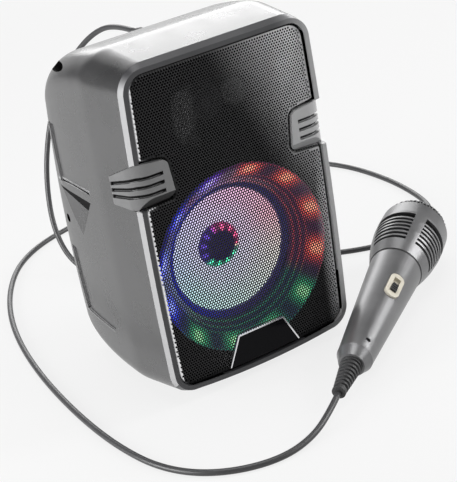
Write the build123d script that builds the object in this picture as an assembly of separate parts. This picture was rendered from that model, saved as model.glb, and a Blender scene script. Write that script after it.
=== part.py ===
from build123d import *
import math
import os

os.makedirs("parts", exist_ok=True)

# Portable karaoke speaker with a wired hand microphone. Millimetres, +Z up, front towards -Y.
# The origin is on the surface that the speaker stands on, under the middle of its cabinet.
# A depth is measured back from the middle of the bezel's front face, and a height from that surface.

# ---------------------------------------------------------------- driving dimensions
DEPTH = 128.0                 # bezel front to rear wall
FOOT_HEIGHT = 4.0
WALL = 3.2                    # cabinet wall
SEAT_GAP = 0.3                # between pieces that are seated but not glued
SLIP = 0.25                   # round a piece that slides or drops into a hole

# outline of the cabinet, seen from the front: half widths at three heights
MID_HEIGHT = 127.0
HALF_TOP, HALF_MID, HALF_BASE = 74.0, 77.0, 75.0
RIM_TOP, RIM_BASE = 249.5, 7.0
BODY_TOP = 252.0
SIDE_SWELL = 4.5              # how much wider the body is behind the bezel
SWELL_DEPTH = 45.0
ROUND_START = 48.0            # depth where the rear rounding begins
REAR_DROP, REAR_RISE, REAR_TUCK, REAR_TUCK_TOP = 32.0, 20.0, 5.5, 2.9
TOP_ROUND_POWER, SIDE_ROUND_POWER = 1.2, 2.25
FRONT_SECTIONS = (12.0, 20.0, 30.0, 40.0, ROUND_START)
REAR_SECTIONS = (0.14, 0.28, 0.42, 0.55, 0.67, 0.77, 0.86, 0.93, 0.975, 1.0)
LEAST_BOW = 0.4
CORNER_TOP, CORNER_BASE = 24.0, 14.5
RIM_CORNER_TOP, RIM_CORNER_BASE = 20.0, 16.0

# bezel
CHAMFER_DEPTH, CHAMFER_SIDE, CHAMFER_TOP = 6.0, 1.3, 2.5
BEZEL_CORNER = 16.0
BEZEL_BOW = 3.0               # the bezel's lower edge is an arc, this much lower in its middle
BEZEL_RIM = 3.4               # width of the rim round the grille
BAFFLE_DEPTH, BAFFLE_THICKNESS = 9.0, 3.0
SKIRT_END = 15.0

# grille and badge
GRILLE_DEPTH, GRILLE_THICKNESS = 2.0, 0.8
GRILLE_LIP = BAFFLE_DEPTH - GRILLE_DEPTH    # the folded edge stands on the baffle
BADGE_TOP, BADGE_BASE = 34.0, 13.0
BADGE_HALF_TOP, BADGE_HALF_BASE = 18.6, 29.0
BADGE_THICKNESS, TRIM_WIDTH = 1.6, 1.0
MESH_COLUMNS, MESH_ROWS = 11, 18
MESH_PITCH, MESH_HOLE = 12.2, 8.8     # coarse openings that stand for the fine perforation
MESH_MARGIN = 2.0             # plain sheet left inside the folded edge and round the badge
LEAST_HOLE = 0.4              # share of an opening that the outline must leave for it to be cut

# ribbed grips set into the front edges
GRIP_LOW, GRIP_HIGH = 150.0, 185.0
GRIP_INNER_LOW, GRIP_INNER_HIGH = 47.5, 50.5
GRIP_BACK = 31.0
GRIP_THICKNESS = 7.0
GRIP_ROUND = 14.2
GRIP_CORNER_X = 64.0
GRIP_REAR_HIGH = 171.0        # top of the grip at its rear end
GROOVE_DEPTH, GROOVE_WIDTH = 2.4, 2.6
GROOVES = [(173.2, 165.6), (167.0, 161.0), (160.8, 156.6)]   # height at the front and at the rear end
GROOVE_INNER_X = 55.0

# woofer, light ring and tweeter
WOOFER_HEIGHT = 87.0
LIGHT_RING_OUTER, LIGHT_RING_INNER = 69.0, 50.5
LIGHT_RING_FRONT, LIGHT_RING_BACK = 7.6, 27.0
RING_WALL = 2.4
LED_BOARD_DEPTH, LED_COUNT, LED_RADIUS = 20.6, 12, 64.0
BASKET_RADIUS = 62.0
FLANGE_THICKNESS = 1.8
FRAME = 1.5                   # sheet of the woofer's basket
CONE_RADIUS, SURROUND_RADIUS = 45.5, 52.0
DUST_CAP_RADIUS = 17.0
COIL_RADIUS = 12.6
CONE_NECK_DEPTH = 45.0
BASKET_BACK_RADIUS = 34.0
MAGNET_RADIUS, MAGNET_THICKNESS = 31.0, 10.0
PLATE_THICKNESS = 4.0
HORN_HEIGHT = 200.0
HORN_WIDTH, HORN_TALL = 84.0, 46.0
HORN_DEPTH = 16.0
TWEETER_RADIUS = 12.5

# screw wells in the rear: x, height, depth of the screw's seat, how far the well and its boss reach, their slope
SCREW_WELLS = [(66.5, 230.5, 87.0, 4.5, 12.0, 28.0), (70.0, 116.0, 109.0, 0.0, 14.0, 0.0),
               (58.0, 34.0, 116.0, 0.0, 0.0, 0.0)]
WELL_RADIUS, WELL_WALL = 3.6, 2.2
SIDE_HOLE_DEPTH, SIDE_HOLE_HEIGHT, SIDE_HOLE_RADIUS, SIDE_HOLE_X = 115.8, 115.8, 3.1, 75.6
SCREW_HEAD, SCREW_SHANK, SCREW_LENGTH, SCREW_PLAY = 3.2, 1.5, 14.0, 0.1
POST_RADIUS = 4.0             # the bezel's posts, which take the screws

# rear control panel
PANEL_HALF, PANEL_LOW, PANEL_HIGH = 52.0, 147.0, 213.8
PANEL_RECESS = 1.2
PANEL_CORNER = 9.0
BUTTON_FLANGE, BUTTON_PLAY, TACT_PLAY = 1.2, 0.4, 0.15
PANEL_LIP = 4.0
PLATE_BACK = 2.2
JACK_X, JACK_HEIGHT = 45.0, 206.6
JACK_RADIUS, JACK_BORE, PLUG_RADIUS = 6.3, 3.25, 3.175
PORT_ROW = 203.0
AUX_X, USB_X, CARD_X, CHARGE_X = 27.0, 6.0, -17.0, -38.0
AUX_BORE, AUX_LENGTH = 1.78, 14.0
KNOB_RADIUS, KNOB_HEIGHT, KNOB_ROW = 8.0, 9.0, 182.0
KNOB_XS = {"volume_knob": 36.0, "mic_volume_knob": 10.0}
SHAFT_RADIUS, SHAFT_CLEARANCE = 3.0, 0.06
POWER_X, POWER_TRAVEL = -32.0, 4.0
BUTTON_ROW, BUTTON_RADIUS, BUTTON_TRAVEL = 159.0, 4.2, 0.8
BUTTON_XS = {"light_button": -38.0, "previous_button": -19.0, "play_button": 0.0,
             "next_button": 19.0, "mode_button": 38.0}

# inside
BOARD_THICKNESS = 1.6
TACT_HEIGHT = 6.4             # push switch with its stem
CELL_RADIUS, CELL_LENGTH = 9.2, 65.0
HOLDER_FRONT, HOLDER_BACK, HOLDER_PAD_X = 58.0, 82.0, 30.0
PORT_HEIGHT, PORT_BORE = 60.0, 11.0

# microphone, measured along its axis from the end of its strain relief
MIC_TAIL = (6.0, -144.0)      # where the strain relief ends, seen from above
MIC_HEADING = 37.0            # degrees from +X
MIC_SWITCH_TURN = 42.0        # the switch faces this far round from straight up
HEAD_RADIUS, HEAD_RING = 27.0, 192.0
HANDLE_TOP, HANDLE_TOP_RADIUS = 156.0, 20.0
COLLAR_END, TAIL_RADIUS = 41.0, 13.0
DOME_START, DOME_RADIUS, DOME_HEIGHT = 216.0, 26.0, 20.0
HEAD_WALL = 2.2
WINDOWS, WINDOW_ANGLE = 4, 70.0
SLOTS, SLOT_HEIGHT, SLOT_PITCH, SLOT_START = 6, 2.4, 4.2, 168.0
TALL_SLOT = 6.0
SWITCH_AT, SWITCH_LENGTH, SWITCH_WIDTH = 116.0, 27.0, 11.6
SWITCH_TRAVEL = 8.0

# cord
CORD_RADIUS = 2.25
FLOOR_LIFT = 2.4              # height of the cord's centre where it lies on the surface
PLUG_GRIP_RADIUS, PLUG_GRIP_LENGTH, PLUG_BOOT_LENGTH = 6.6, 42.0, 28.0

FRONT_Y = -DEPTH / 2
RIM_BOW = BEZEL_BOW - 1.0
CELL_BOTTOM = FOOT_HEIGHT + WALL + 3.6


def save(name, *solids):
    """Write the solids of one sub-part, each kept as a separate solid."""
    pieces = [s for piece in solids for s in piece.solids()]
    export_step(pieces[0] if len(pieces) == 1 else Compound(children=pieces), f"parts/{name}.step")


def y_at(depth):
    return FRONT_Y + depth


def block(x0, x1, depth0, depth1, z0, z1):
    """Box between two x, two depths and two heights."""
    return Pos((x0 + x1) / 2, y_at((depth0 + depth1) / 2), (z0 + z1) / 2) * Box(
        abs(x1 - x0), abs(depth1 - depth0), abs(z1 - z0)
    )


def turned(profile, x, z):
    """Solid of revolution about the line along Y through (x, z); the profile is (radius, depth) points."""
    face = make_face(Polyline(*[(r, y_at(d)) for r, d in profile], close=True))
    return Pos(x, 0, z) * revolve(face, Axis.Y, 360)


def rod(x, z, radius, depth0, depth1):
    return turned([(0, depth0), (radius, depth0), (radius, depth1), (0, depth1)], x, z)


def ring(x, z, inner, outer, depth0, depth1):
    return turned([(inner, depth0), (outer, depth0), (outer, depth1), (inner, depth1)], x, z)


def front_prism(face, depth0, depth1):
    """Extrude a sketch drawn in (x, z) from one depth to another."""
    return extrude(Plane.XZ.offset(-y_at(depth1)) * face, depth1 - depth0)


def mirrored(solid):
    return mirror(solid, about=Plane.YZ)


# ---------------------------------------------------------------- cabinet form
def barrel_outline(half_top, half_mid, half_base, top, base, r_top, r_base, bow):
    """Closed outline in (x, z): bowed sides, rounded corners and a lower edge bowed down by bow."""
    reach = top - MID_HEIGHT
    fall = MID_HEIGHT - base
    def half(z):
        edge = half_top if z > MID_HEIGHT else half_base
        span = reach if z > MID_HEIGHT else fall
        return half_mid - (half_mid - edge) * ((z - MID_HEIGHT) / span) ** 2
    z_top, z_base = top - r_top, base + r_base
    x_top, x_base = half(z_top), half(z_base)
    k = 1 - math.sqrt(0.5)
    edges = [
        Line((-(x_top - r_top), top), (x_top - r_top, top)),
        ThreePointArc((x_top - r_top, top), (x_top - r_top * k, top - r_top * k), (x_top, z_top)),
        ThreePointArc((x_top, z_top), (half_mid, MID_HEIGHT), (x_base, z_base)),
        ThreePointArc((x_base, z_base), (x_base - r_base * k, base + r_base * k), (x_base - r_base, base)),
        ThreePointArc((x_base - r_base, base), (0, base - bow), (-(x_base - r_base), base)),
        ThreePointArc((-(x_base - r_base), base), (-(x_base - r_base * k), base + r_base * k), (-x_base, z_base)),
        ThreePointArc((-x_base, z_base), (-half_mid, MID_HEIGHT), (-x_top, z_top)),
        ThreePointArc((-x_top, z_top), (-(x_top - r_top * k), top - r_top * k), (-(x_top - r_top), top)),
    ]
    return make_face(Curve() + edges)


def body_outline(depth, inset):
    """The cabinet's section at a depth behind the bezel, moved inwards by inset."""
    u = min(1.0, max(0.0, (depth - ROUND_START) / (DEPTH - ROUND_START)))
    over_top = 1 - math.sqrt(max(0.0, 1 - u ** TOP_ROUND_POWER))
    over_side = 1 - math.sqrt(max(0.0, 1 - u ** SIDE_ROUND_POWER))
    grow = min(1.0, max(0.0, (depth - CHAMFER_DEPTH) / (SWELL_DEPTH - CHAMFER_DEPTH)))
    swell = SIDE_SWELL * grow - REAR_TUCK * over_side - inset
    top = RIM_TOP + (BODY_TOP - RIM_TOP) * grow - REAR_DROP * over_top - inset
    base = RIM_BASE - (RIM_BASE - FOOT_HEIGHT) * grow + REAR_RISE * over_side + inset
    r_top = RIM_CORNER_TOP + (CORNER_TOP - RIM_CORNER_TOP) * grow - inset
    r_base = RIM_CORNER_BASE + (CORNER_BASE - RIM_CORNER_BASE) * grow - inset
    return barrel_outline(
        HALF_TOP + swell - REAR_TUCK_TOP * u, HALF_MID + swell, HALF_BASE + swell,
        top, base, r_top, r_base, max(LEAST_BOW, RIM_BOW * (1 - grow)),
    )


def body_solid(inset, start, end):
    """Loft through the cabinet's sections; the rear ones close up where the rounding is steepest."""
    back_shift = DEPTH - end
    sections = [Plane.XZ.offset(-y_at(d)) * body_outline(d, inset) for d in (start, *FRONT_SECTIONS)]
    for u in REAR_SECTIONS:
        d = ROUND_START + u * (DEPTH - ROUND_START)
        sections.append(Plane.XZ.offset(-y_at(d - back_shift)) * body_outline(d, inset))
    return loft(Sketch() + sections)


def bezel_outline(inset, bow=BEZEL_BOW):
    """The bezel's front outline, moved inwards by inset."""
    return barrel_outline(
        HALF_TOP - CHAMFER_SIDE - inset, HALF_MID - CHAMFER_SIDE - inset, HALF_BASE - CHAMFER_SIDE - inset,
        RIM_TOP - CHAMFER_TOP - inset, RIM_BASE + CHAMFER_TOP - 0.5 + inset,
        BEZEL_CORNER - inset, BEZEL_CORNER - inset, bow,
    )


# ---------------------------------------------------------------- ribbed grips (right one; the left is mirrored)
def grip_plan(inward):
    """Plan of everything inside the grip's outer surface, the surface being moved inwards."""
    r = GRIP_ROUND - inward
    cx, cd = GRIP_CORNER_X, GRIP_ROUND
    back = GRIP_BACK + (0 if inward >= 0 else -inward)
    side = cx + r
    rear_side = side + 2.1
    m = r * math.sqrt(0.5)
    edges = [
        Line((40, y_at(cd - r)), (cx, y_at(cd - r))),
        ThreePointArc((cx, y_at(cd - r)), (cx + m, y_at(cd - m)), (side, y_at(cd))),
        Line((side, y_at(cd)), (rear_side, y_at(back))),
        Line((rear_side, y_at(back)), (40, y_at(back))),
        Line((40, y_at(back)), (40, y_at(cd - r))),
    ]
    return make_face(Curve() + edges)


def grip_front_face(grow):
    corners = [(90, GRIP_LOW), (GRIP_INNER_LOW, GRIP_LOW + 3), (GRIP_INNER_HIGH, GRIP_HIGH - 3.5), (90, GRIP_HIGH + 1)]
    face = make_face(Polyline(*corners, close=True))
    inner = face.vertices().sort_by(Axis.X)[:2]
    face = fillet(inner, 5)
    return offset(face, grow) if grow else face


def grip_side_face(grow):
    corners = [(y_at(-8), GRIP_LOW - grow), (y_at(-8), GRIP_HIGH + 4 + grow), (y_at(0), GRIP_HIGH + grow),
               (y_at(GRIP_BACK + grow), GRIP_REAR_HIGH + grow), (y_at(GRIP_BACK + grow), GRIP_LOW - 0.5 - grow)]
    return make_face(Polyline(*corners, close=True))


def grip_envelope(grow, outward=0.0):
    """The grip's block: a band under its outer surface, trimmed to its front and side outlines."""
    tall = GRIP_HIGH - GRIP_LOW + 20
    lift = Pos(0, 0, GRIP_LOW - 10)
    skin = lift * extrude(grip_plan(-outward), tall) - lift * extrude(grip_plan(GRIP_THICKNESS + grow), tall)
    front = front_prism(grip_front_face(grow), -10, GRIP_BACK + grow)
    side = Pos(30, 0, 0) * extrude(Plane.YZ * grip_side_face(grow), 70)
    return skin & front & side


grip = grip_envelope(0)
groove_band = Pos(0, 0, GRIP_LOW - 10) * (extrude(grip_plan(-1), 60) - extrude(grip_plan(GROOVE_DEPTH), 60))
for front_z, rear_z in GROOVES:
    half_slot = GROOVE_WIDTH / 2
    slab = make_face(Polyline(
        (y_at(-2), front_z - half_slot), (y_at(-2), front_z + half_slot), (y_at(4), front_z + half_slot),
        (y_at(GRIP_BACK + 1), rear_z + half_slot), (y_at(GRIP_BACK + 1), rear_z - half_slot),
        (y_at(4), front_z - half_slot), close=True))
    grip -= (Pos(GROOVE_INNER_X, 0, 0) * extrude(Plane.YZ * slab, 40)) & groove_band
FACET_FRONT = make_face(Polyline((y_at(-1), GRIP_LOW + 9.5), (y_at(-1), GRIP_LOW - 2), (y_at(7.3), GRIP_LOW - 2),
                                 close=True))
grip -= Pos(40, 0, 0) * extrude(Plane.YZ * FACET_FRONT, 60)
grip_pocket = grip_envelope(SLIP, outward=6.0)
save("side_grip_right", grip)
save("side_grip_left", mirrored(grip))

# ---------------------------------------------------------------- cabinet
outer_body = body_solid(0, CHAMFER_DEPTH, DEPTH)
cabinet = outer_body
FOOT_PLACES = [(x, d) for x in (-50.0, 50.0) for d in (20.0, 92.0)]
for x, d in FOOT_PLACES:
    cabinet += Pos(x, y_at(d), FOOT_HEIGHT + 4) * Cylinder(9, 8)
cabinet -= body_solid(WALL, CHAMFER_DEPTH - 0.5, DEPTH - WALL)
cabinet -= front_prism(body_outline(CHAMFER_DEPTH, WALL), CHAMFER_DEPTH - 1, SKIRT_END + SEAT_GAP)
for x in (-HOLDER_PAD_X, HOLDER_PAD_X):
    cabinet += block(x - 4, x + 4, HOLDER_FRONT + 2, HOLDER_BACK - 2, FOOT_HEIGHT + 2.5, CELL_BOTTOM)

# shallow moulded hollows in both sides, with a deeper wedge under the upper one
UPPER_HOLLOW = [(66, 140), (71, 140), (116, 141), (124, 189), (83, 189), (70, 186), (65, 178), (65, 165)]
LOWER_HOLLOW = [(67, 44), (72, 38), (118, 40), (122, 93), (84, 93), (71, 89), (67, 76)]
HOLLOW_DEPTH = 1.3
recess_core = body_solid(HOLLOW_DEPTH, CHAMFER_DEPTH - 0.5, DEPTH - HOLLOW_DEPTH)
for outline in (UPPER_HOLLOW, LOWER_HOLLOW):
    side_face = make_face(Polyline(*[(y_at(d), z) for d, z in outline], close=True))
    side_face = fillet(side_face.vertices(), 2.4)
    hollow = (Pos(60, 0, 0) * extrude(Plane.YZ * side_face, 40)) - recess_core
    cabinet -= hollow
    cabinet -= mirrored(hollow)

# notch under the upper hollow, a pyramid cut inwards to its tip: a steep upper face, a shallow lower one
side_x = HALF_MID + SIDE_SWELL
NOTCH_TIP = (6.0, 86.5, 128.4)                 # in from the side, depth, height
NOTCH_CORNERS = [(0.2, 67.1, 141.7), (0.2, 92.0, 108.0), (2.5, 115.4, 139.7)]
NOTCH_OVERSIZE, NOTCH_WALL = 1.8, 2.6


def notch_point(corner, reach, shift):
    """Point on the line from the notch's tip through a corner, at reach times that distance."""
    inset, depth, height = (t + (c - t) * reach for c, t in zip(corner, NOTCH_TIP))
    return Vector(side_x - inset - shift, y_at(depth), height)


def notch_pyramid(reach, shift):
    base = make_face(Polyline(*[notch_point(c, reach, shift) for c in NOTCH_CORNERS], close=True))
    tip = notch_point(NOTCH_TIP, 1, shift)
    return loft([base.face(), Vertex(tip.X, tip.Y, tip.Z)])


notch_back = notch_pyramid(2 * NOTCH_OVERSIZE, NOTCH_WALL) & outer_body
cabinet += notch_back
cabinet += mirrored(notch_back)
wedge = notch_pyramid(NOTCH_OVERSIZE, 0)
cabinet -= wedge
cabinet -= mirrored(wedge)
cabinet -= grip_pocket
cabinet -= mirrored(grip_pocket)

# opening for the control panel, the bass port and the screw wells in the rear wall
panel_centre = (PANEL_LOW + PANEL_HIGH) / 2
panel_tall = PANEL_HIGH - PANEL_LOW
opening = RectangleRounded(2 * (PANEL_HALF + SLIP), panel_tall + 2 * SLIP, PANEL_CORNER)
cabinet -= front_prism(Pos(0, panel_centre) * opening, DEPTH - WALL - 2, DEPTH + 2)
PORT_WALL = 2.0
cabinet -= rod(0, PORT_HEIGHT, PORT_BORE + PORT_WALL + SLIP, DEPTH - WALL - 2, DEPTH + 2)


def well_face(x, z, reach, slope, radius):
    """Outline of a screw well or its boss: a circle, or a slot that reaches outwards at a slope."""
    if reach == 0:
        return Pos(x, z) * Circle(radius)
    return Pos(x, z) * Rot(0, 0, slope) * Pos(reach / 2, 0) * SlotCenterToCenter(reach, 2 * radius)


bosses = Part()
wells = Pos(SIDE_HOLE_X + 10, y_at(SIDE_HOLE_DEPTH), SIDE_HOLE_HEIGHT) * Rot(0, 90, 0) * Cylinder(SIDE_HOLE_RADIUS, 20)
for x, z, seat, well_reach, boss_reach, slope in SCREW_WELLS:
    bosses += front_prism(well_face(x, z, boss_reach, slope, WELL_RADIUS + WELL_WALL), seat - WELL_WALL, DEPTH)
    wells += front_prism(well_face(x, z, well_reach, slope, WELL_RADIUS), seat, DEPTH + 5)
    wells += rod(x, z, SCREW_SHANK + SCREW_PLAY, seat - WELL_WALL - 1, seat + 1)
bosses &= outer_body
cabinet += bosses
cabinet += mirrored(bosses)
cabinet -= wells
cabinet -= mirrored(wells)
save("cabinet", cabinet)

screws = [
    turned([(0, seat - SCREW_LENGTH), (SCREW_SHANK, seat - SCREW_LENGTH), (SCREW_SHANK, seat), (SCREW_HEAD, seat),
            (SCREW_HEAD, seat + 1.2), (SCREW_SHANK, seat + 2.0), (0, seat + 2.0)], side * x, z)
    for x, z, seat, _, _, _ in SCREW_WELLS for side in (-1, 1)
]
save("cabinet_screws", *screws)

feet = [
    Pos(x, y_at(d), 0) * revolve(make_face(Polyline(
        (0, 0), (5.6, 0), (6.6, 0.8), (7.2, FOOT_HEIGHT), (0, FOOT_HEIGHT), close=True)).rotate(Axis.X, 90), Axis.Z, 360)
    for x, d in FOOT_PLACES
]
save("feet", *feet)

# ---------------------------------------------------------------- bezel with its baffle
bezel = loft(Sketch() + [
    Plane.XZ.offset(-y_at(0)) * bezel_outline(0),
    Plane.XZ.offset(-y_at(CHAMFER_DEPTH)) * body_outline(CHAMFER_DEPTH, 0),
])
SKIRT_INSET = WALL + SEAT_GAP
bezel += front_prism(body_outline(CHAMFER_DEPTH, SKIRT_INSET), CHAMFER_DEPTH, SKIRT_END)
bezel -= front_prism(bezel_outline(BEZEL_RIM), -1, BAFFLE_DEPTH)
bezel -= front_prism(body_outline(CHAMFER_DEPTH, SKIRT_INSET + 2.0), BAFFLE_DEPTH + BAFFLE_THICKNESS, SKIRT_END + 1)
bezel -= rod(0, WOOFER_HEIGHT, LIGHT_RING_OUTER + SEAT_GAP, 0, SKIRT_END + 1)
for x, z, seat, _, _, _ in SCREW_WELLS:
    for side in (-1, 1):
        post_end = seat - WELL_WALL - SEAT_GAP
        bezel += rod(side * x, z, POST_RADIUS, BAFFLE_DEPTH + 1, post_end)
        bezel -= rod(side * x, z, SCREW_SHANK + SCREW_PLAY, seat - SCREW_LENGTH - 1, post_end + 1)
horn_hole = RectangleRounded(HORN_WIDTH + 2 * SLIP, HORN_TALL + 2 * SLIP, 6)
bezel -= front_prism(Pos(0, HORN_HEIGHT) * horn_hole, 0, SKIRT_END + 1)
bezel -= grip_pocket
bezel -= mirrored(grip_pocket)
save("front_bezel", bezel)

# ---------------------------------------------------------------- grille and badge
GRILLE_GAP = 0.4


def grille_outline(inset):
    """The grille's outline, notched round both grips, this far in from its own edge."""
    outline = bezel_outline(BEZEL_RIM + SEAT_GAP + inset)
    notch = grip_front_face(GRILLE_GAP + inset)
    return outline - notch - mirror(notch, about=Plane.YZ)


BADGE_OUTLINE = [(-BADGE_HALF_BASE, BADGE_BASE), (-BADGE_HALF_TOP, BADGE_TOP), (BADGE_HALF_TOP, BADGE_TOP),
                 (BADGE_HALF_BASE, BADGE_BASE)]
badge_face = make_face(Polyline(*BADGE_OUTLINE, close=True))
badge_back = GRILLE_DEPTH

grille = front_prism(grille_outline(0), GRILLE_DEPTH, GRILLE_DEPTH + GRILLE_LIP)
grille -= front_prism(grille_outline(GRILLE_THICKNESS), GRILLE_DEPTH + GRILLE_THICKNESS,
                      GRILLE_DEPTH + GRILLE_LIP + 1)
mesh_room = grille_outline(GRILLE_THICKNESS + MESH_MARGIN) - offset(badge_face, MESH_MARGIN)
mesh_holes = []
for spot in GridLocations(MESH_PITCH, MESH_PITCH, MESH_COLUMNS, MESH_ROWS):
    hole = Pos(0, (RIM_TOP + RIM_BASE) / 2) * spot * Rectangle(MESH_HOLE, MESH_HOLE)
    kept = hole - (hole - mesh_room)
    if kept.area > LEAST_HOLE * hole.area:
        mesh_holes.append(front_prism(kept, GRILLE_DEPTH - 1, GRILLE_DEPTH + GRILLE_THICKNESS + 1))
grille -= mesh_holes
save("grille", grille)

TRIM_SLANT = 0.8 * TRIM_WIDTH
trim_outline = [(-BADGE_HALF_BASE - TRIM_WIDTH, BADGE_BASE), (-BADGE_HALF_TOP - TRIM_SLANT, BADGE_TOP + TRIM_WIDTH),
                (BADGE_HALF_TOP + TRIM_SLANT, BADGE_TOP + TRIM_WIDTH), (BADGE_HALF_BASE + TRIM_WIDTH, BADGE_BASE)]
trim_face = make_face(Polyline(*trim_outline, close=True)) - badge_face
save("badge_plate", front_prism(badge_face, badge_back - BADGE_THICKNESS, badge_back))
save("badge_trim", front_prism(trim_face, badge_back - BADGE_THICKNESS - 0.3, badge_back))

# ---------------------------------------------------------------- light ring: bowl, board and lamps
bowl_lip = LIGHT_RING_FRONT + RING_WALL
light_ring = turned([
    (LIGHT_RING_OUTER, LIGHT_RING_FRONT), (LIGHT_RING_OUTER - 2.0, LIGHT_RING_FRONT),
    (LIGHT_RING_INNER + 5.0, LIGHT_RING_FRONT + 11.0), (LIGHT_RING_INNER, LIGHT_RING_BACK - 2.0),
    (LIGHT_RING_INNER, LIGHT_RING_BACK), (BASKET_RADIUS, LIGHT_RING_BACK),
    (BASKET_RADIUS, LIGHT_RING_BACK - RING_WALL), (LIGHT_RING_INNER + 4.0, LIGHT_RING_BACK - RING_WALL),
    (LIGHT_RING_INNER + 8.0, LIGHT_RING_FRONT + 12.4), (LIGHT_RING_OUTER, bowl_lip),
], 0, WOOFER_HEIGHT)
for i in range(4):
    a = math.radians(30 + 90 * i)
    light_ring += rod(LED_RADIUS * math.cos(a), WOOFER_HEIGHT + LED_RADIUS * math.sin(a), 1.8,
                      LED_BOARD_DEPTH - 7.5, LED_BOARD_DEPTH)
save("light_ring", light_ring)
save("led_board", ring(0, WOOFER_HEIGHT, LED_RADIUS - 3.2, LED_RADIUS + 3.6, LED_BOARD_DEPTH, LED_BOARD_DEPTH + 1.6))
lamps = []
for i in range(LED_COUNT):
    a = 2 * math.pi * (i + 0.5) / LED_COUNT
    lamps.append(Pos(LED_RADIUS * math.cos(a), 0, WOOFER_HEIGHT + LED_RADIUS * math.sin(a))
                 * block(-2, 2, LED_BOARD_DEPTH - 1.6, LED_BOARD_DEPTH, -2, 2))
save("lamps", *lamps)

# ---------------------------------------------------------------- woofer
flange = LIGHT_RING_BACK + SEAT_GAP
basket_back = flange + 27.0
TOP_PLATE_RADIUS = MAGNET_RADIUS - 2.0
cone_front = flange + 2.6
SURROUND_THICKNESS = 0.8
roll_base = cone_front + 0.4
ledge = roll_base + SURROUND_THICKNESS
basket = turned([
    (SURROUND_RADIUS + 0.5, flange), (BASKET_RADIUS, flange), (BASKET_RADIUS, flange + FLANGE_THICKNESS),
    (SURROUND_RADIUS + 3.4, flange + FLANGE_THICKNESS), (SURROUND_RADIUS + 2.6, ledge + FRAME),
    (BASKET_BACK_RADIUS, basket_back - FRAME), (BASKET_BACK_RADIUS - 2.0, basket_back), (16.0, basket_back),
    (16.0, basket_back - FRAME), (BASKET_BACK_RADIUS - 2.4, basket_back - FRAME), (SURROUND_RADIUS - 1.7, ledge),
    (SURROUND_RADIUS + 0.5, ledge),
], 0, WOOFER_HEIGHT)
for i in range(4):
    window = make_face(Polyline((0, 0), (70 * math.cos(0.52), 70 * math.sin(0.52)),
                                (70 * math.cos(1.05), 70 * math.sin(1.05)), close=True))
    window = Pos(0, WOOFER_HEIGHT) * Rot(0, 0, 90 * i) * window
    basket -= front_prism(window, ledge + 4, basket_back - 4)
save("woofer_basket", basket)
WOOFER_SCREW_RING = BASKET_RADIUS - 3.2
woofer_screws = []
for i in range(4):
    a = math.radians(45 + 90 * i)
    woofer_screws.append(rod(WOOFER_SCREW_RING * math.cos(a), WOOFER_HEIGHT + WOOFER_SCREW_RING * math.sin(a), 2.2,
                             flange + FLANGE_THICKNESS, flange + FLANGE_THICKNESS + 1.8))
save("woofer_screws", *woofer_screws)

plate_front = basket_back
magnet_front = plate_front + PLATE_THICKNESS
back_plate_front = magnet_front + MAGNET_THICKNESS
POLE_RADIUS = COIL_RADIUS - 1.0
GAP_BORE = COIL_RADIUS + 1.0
save("woofer_top_plate", ring(0, WOOFER_HEIGHT, GAP_BORE, TOP_PLATE_RADIUS, plate_front, magnet_front))
save("woofer_magnet", ring(0, WOOFER_HEIGHT, GAP_BORE + 4, MAGNET_RADIUS, magnet_front, back_plate_front))
save("woofer_back_plate", turned([
    (0, plate_front), (POLE_RADIUS, plate_front), (POLE_RADIUS, back_plate_front),
    (TOP_PLATE_RADIUS, back_plate_front), (TOP_PLATE_RADIUS, back_plate_front + PLATE_THICKNESS),
    (0, back_plate_front + PLATE_THICKNESS)], 0, WOOFER_HEIGHT))

# moving parts of the woofer: the cone carries the dust cap and the coil on its former
CONE_THICKNESS = 0.9
neck_front = CONE_NECK_DEPTH
cone = turned([
    (CONE_RADIUS, cone_front), (CONE_RADIUS - 18.0, cone_front + 7.6), (COIL_RADIUS + 0.1, neck_front),
    (COIL_RADIUS + 0.1, neck_front + CONE_THICKNESS), (CONE_RADIUS - 18.0, cone_front + 7.6 + CONE_THICKNESS),
    (CONE_RADIUS, cone_front + CONE_THICKNESS)], 0, WOOFER_HEIGHT)
save("woofer_cone", cone)
cap_seat = cone_front + 7.6 + (neck_front - cone_front - 7.6) * (CONE_RADIUS - 18.0 - DUST_CAP_RADIUS) / (
    CONE_RADIUS - 18.0 - COIL_RADIUS - 0.1)
cap_profile = [(DUST_CAP_RADIUS * math.cos(t), cap_seat - 0.1 - 5.2 * math.sin(t))
               for t in [math.radians(15 * i) for i in range(7)]]
cap_inner = [((DUST_CAP_RADIUS - 0.8) * math.cos(t), cap_seat - 0.1 - 4.4 * math.sin(t))
             for t in [math.radians(15 * i) for i in range(6, -1, -1)]]
save("dust_cap", turned(cap_profile[:-1] + [(0, cap_profile[-1][1]), (0, cap_inner[0][1])] + cap_inner[1:],
                        0, WOOFER_HEIGHT))
save("voice_coil", ring(0, WOOFER_HEIGHT, COIL_RADIUS - 0.6, COIL_RADIUS, cap_seat + 0.6, plate_front + 3.4)
     + ring(0, WOOFER_HEIGHT, COIL_RADIUS - 0.6, COIL_RADIUS + 0.6, plate_front - 3.0, plate_front + 3.4))
roll = [(0.0, 0.0), (0.3, 1.8), (1.6, 2.9), (3.2, 3.3), (4.8, 2.9), (6.1, 1.8), (6.4, 0.0)]
surround = [(CONE_RADIUS + SEAT_GAP + r * 0.9, roll_base - h) for r, h in roll]
surround += [(CONE_RADIUS + SEAT_GAP + 0.9 * r, roll_base - h + SURROUND_THICKNESS) for r, h in reversed(roll)]
save("surround", turned(surround, 0, WOOFER_HEIGHT))
SPIDER_THICKNESS = 0.9
spider_depth = basket_back - FRAME - SPIDER_THICKNESS
spider = [(COIL_RADIUS + 0.1, spider_depth - 3), (16.5, spider_depth - 1.2), (19.5, spider_depth - 3),
          (22.5, spider_depth - 1.2), (25.5, spider_depth - 3), (28.0, spider_depth), (30.6, spider_depth)]
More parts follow.
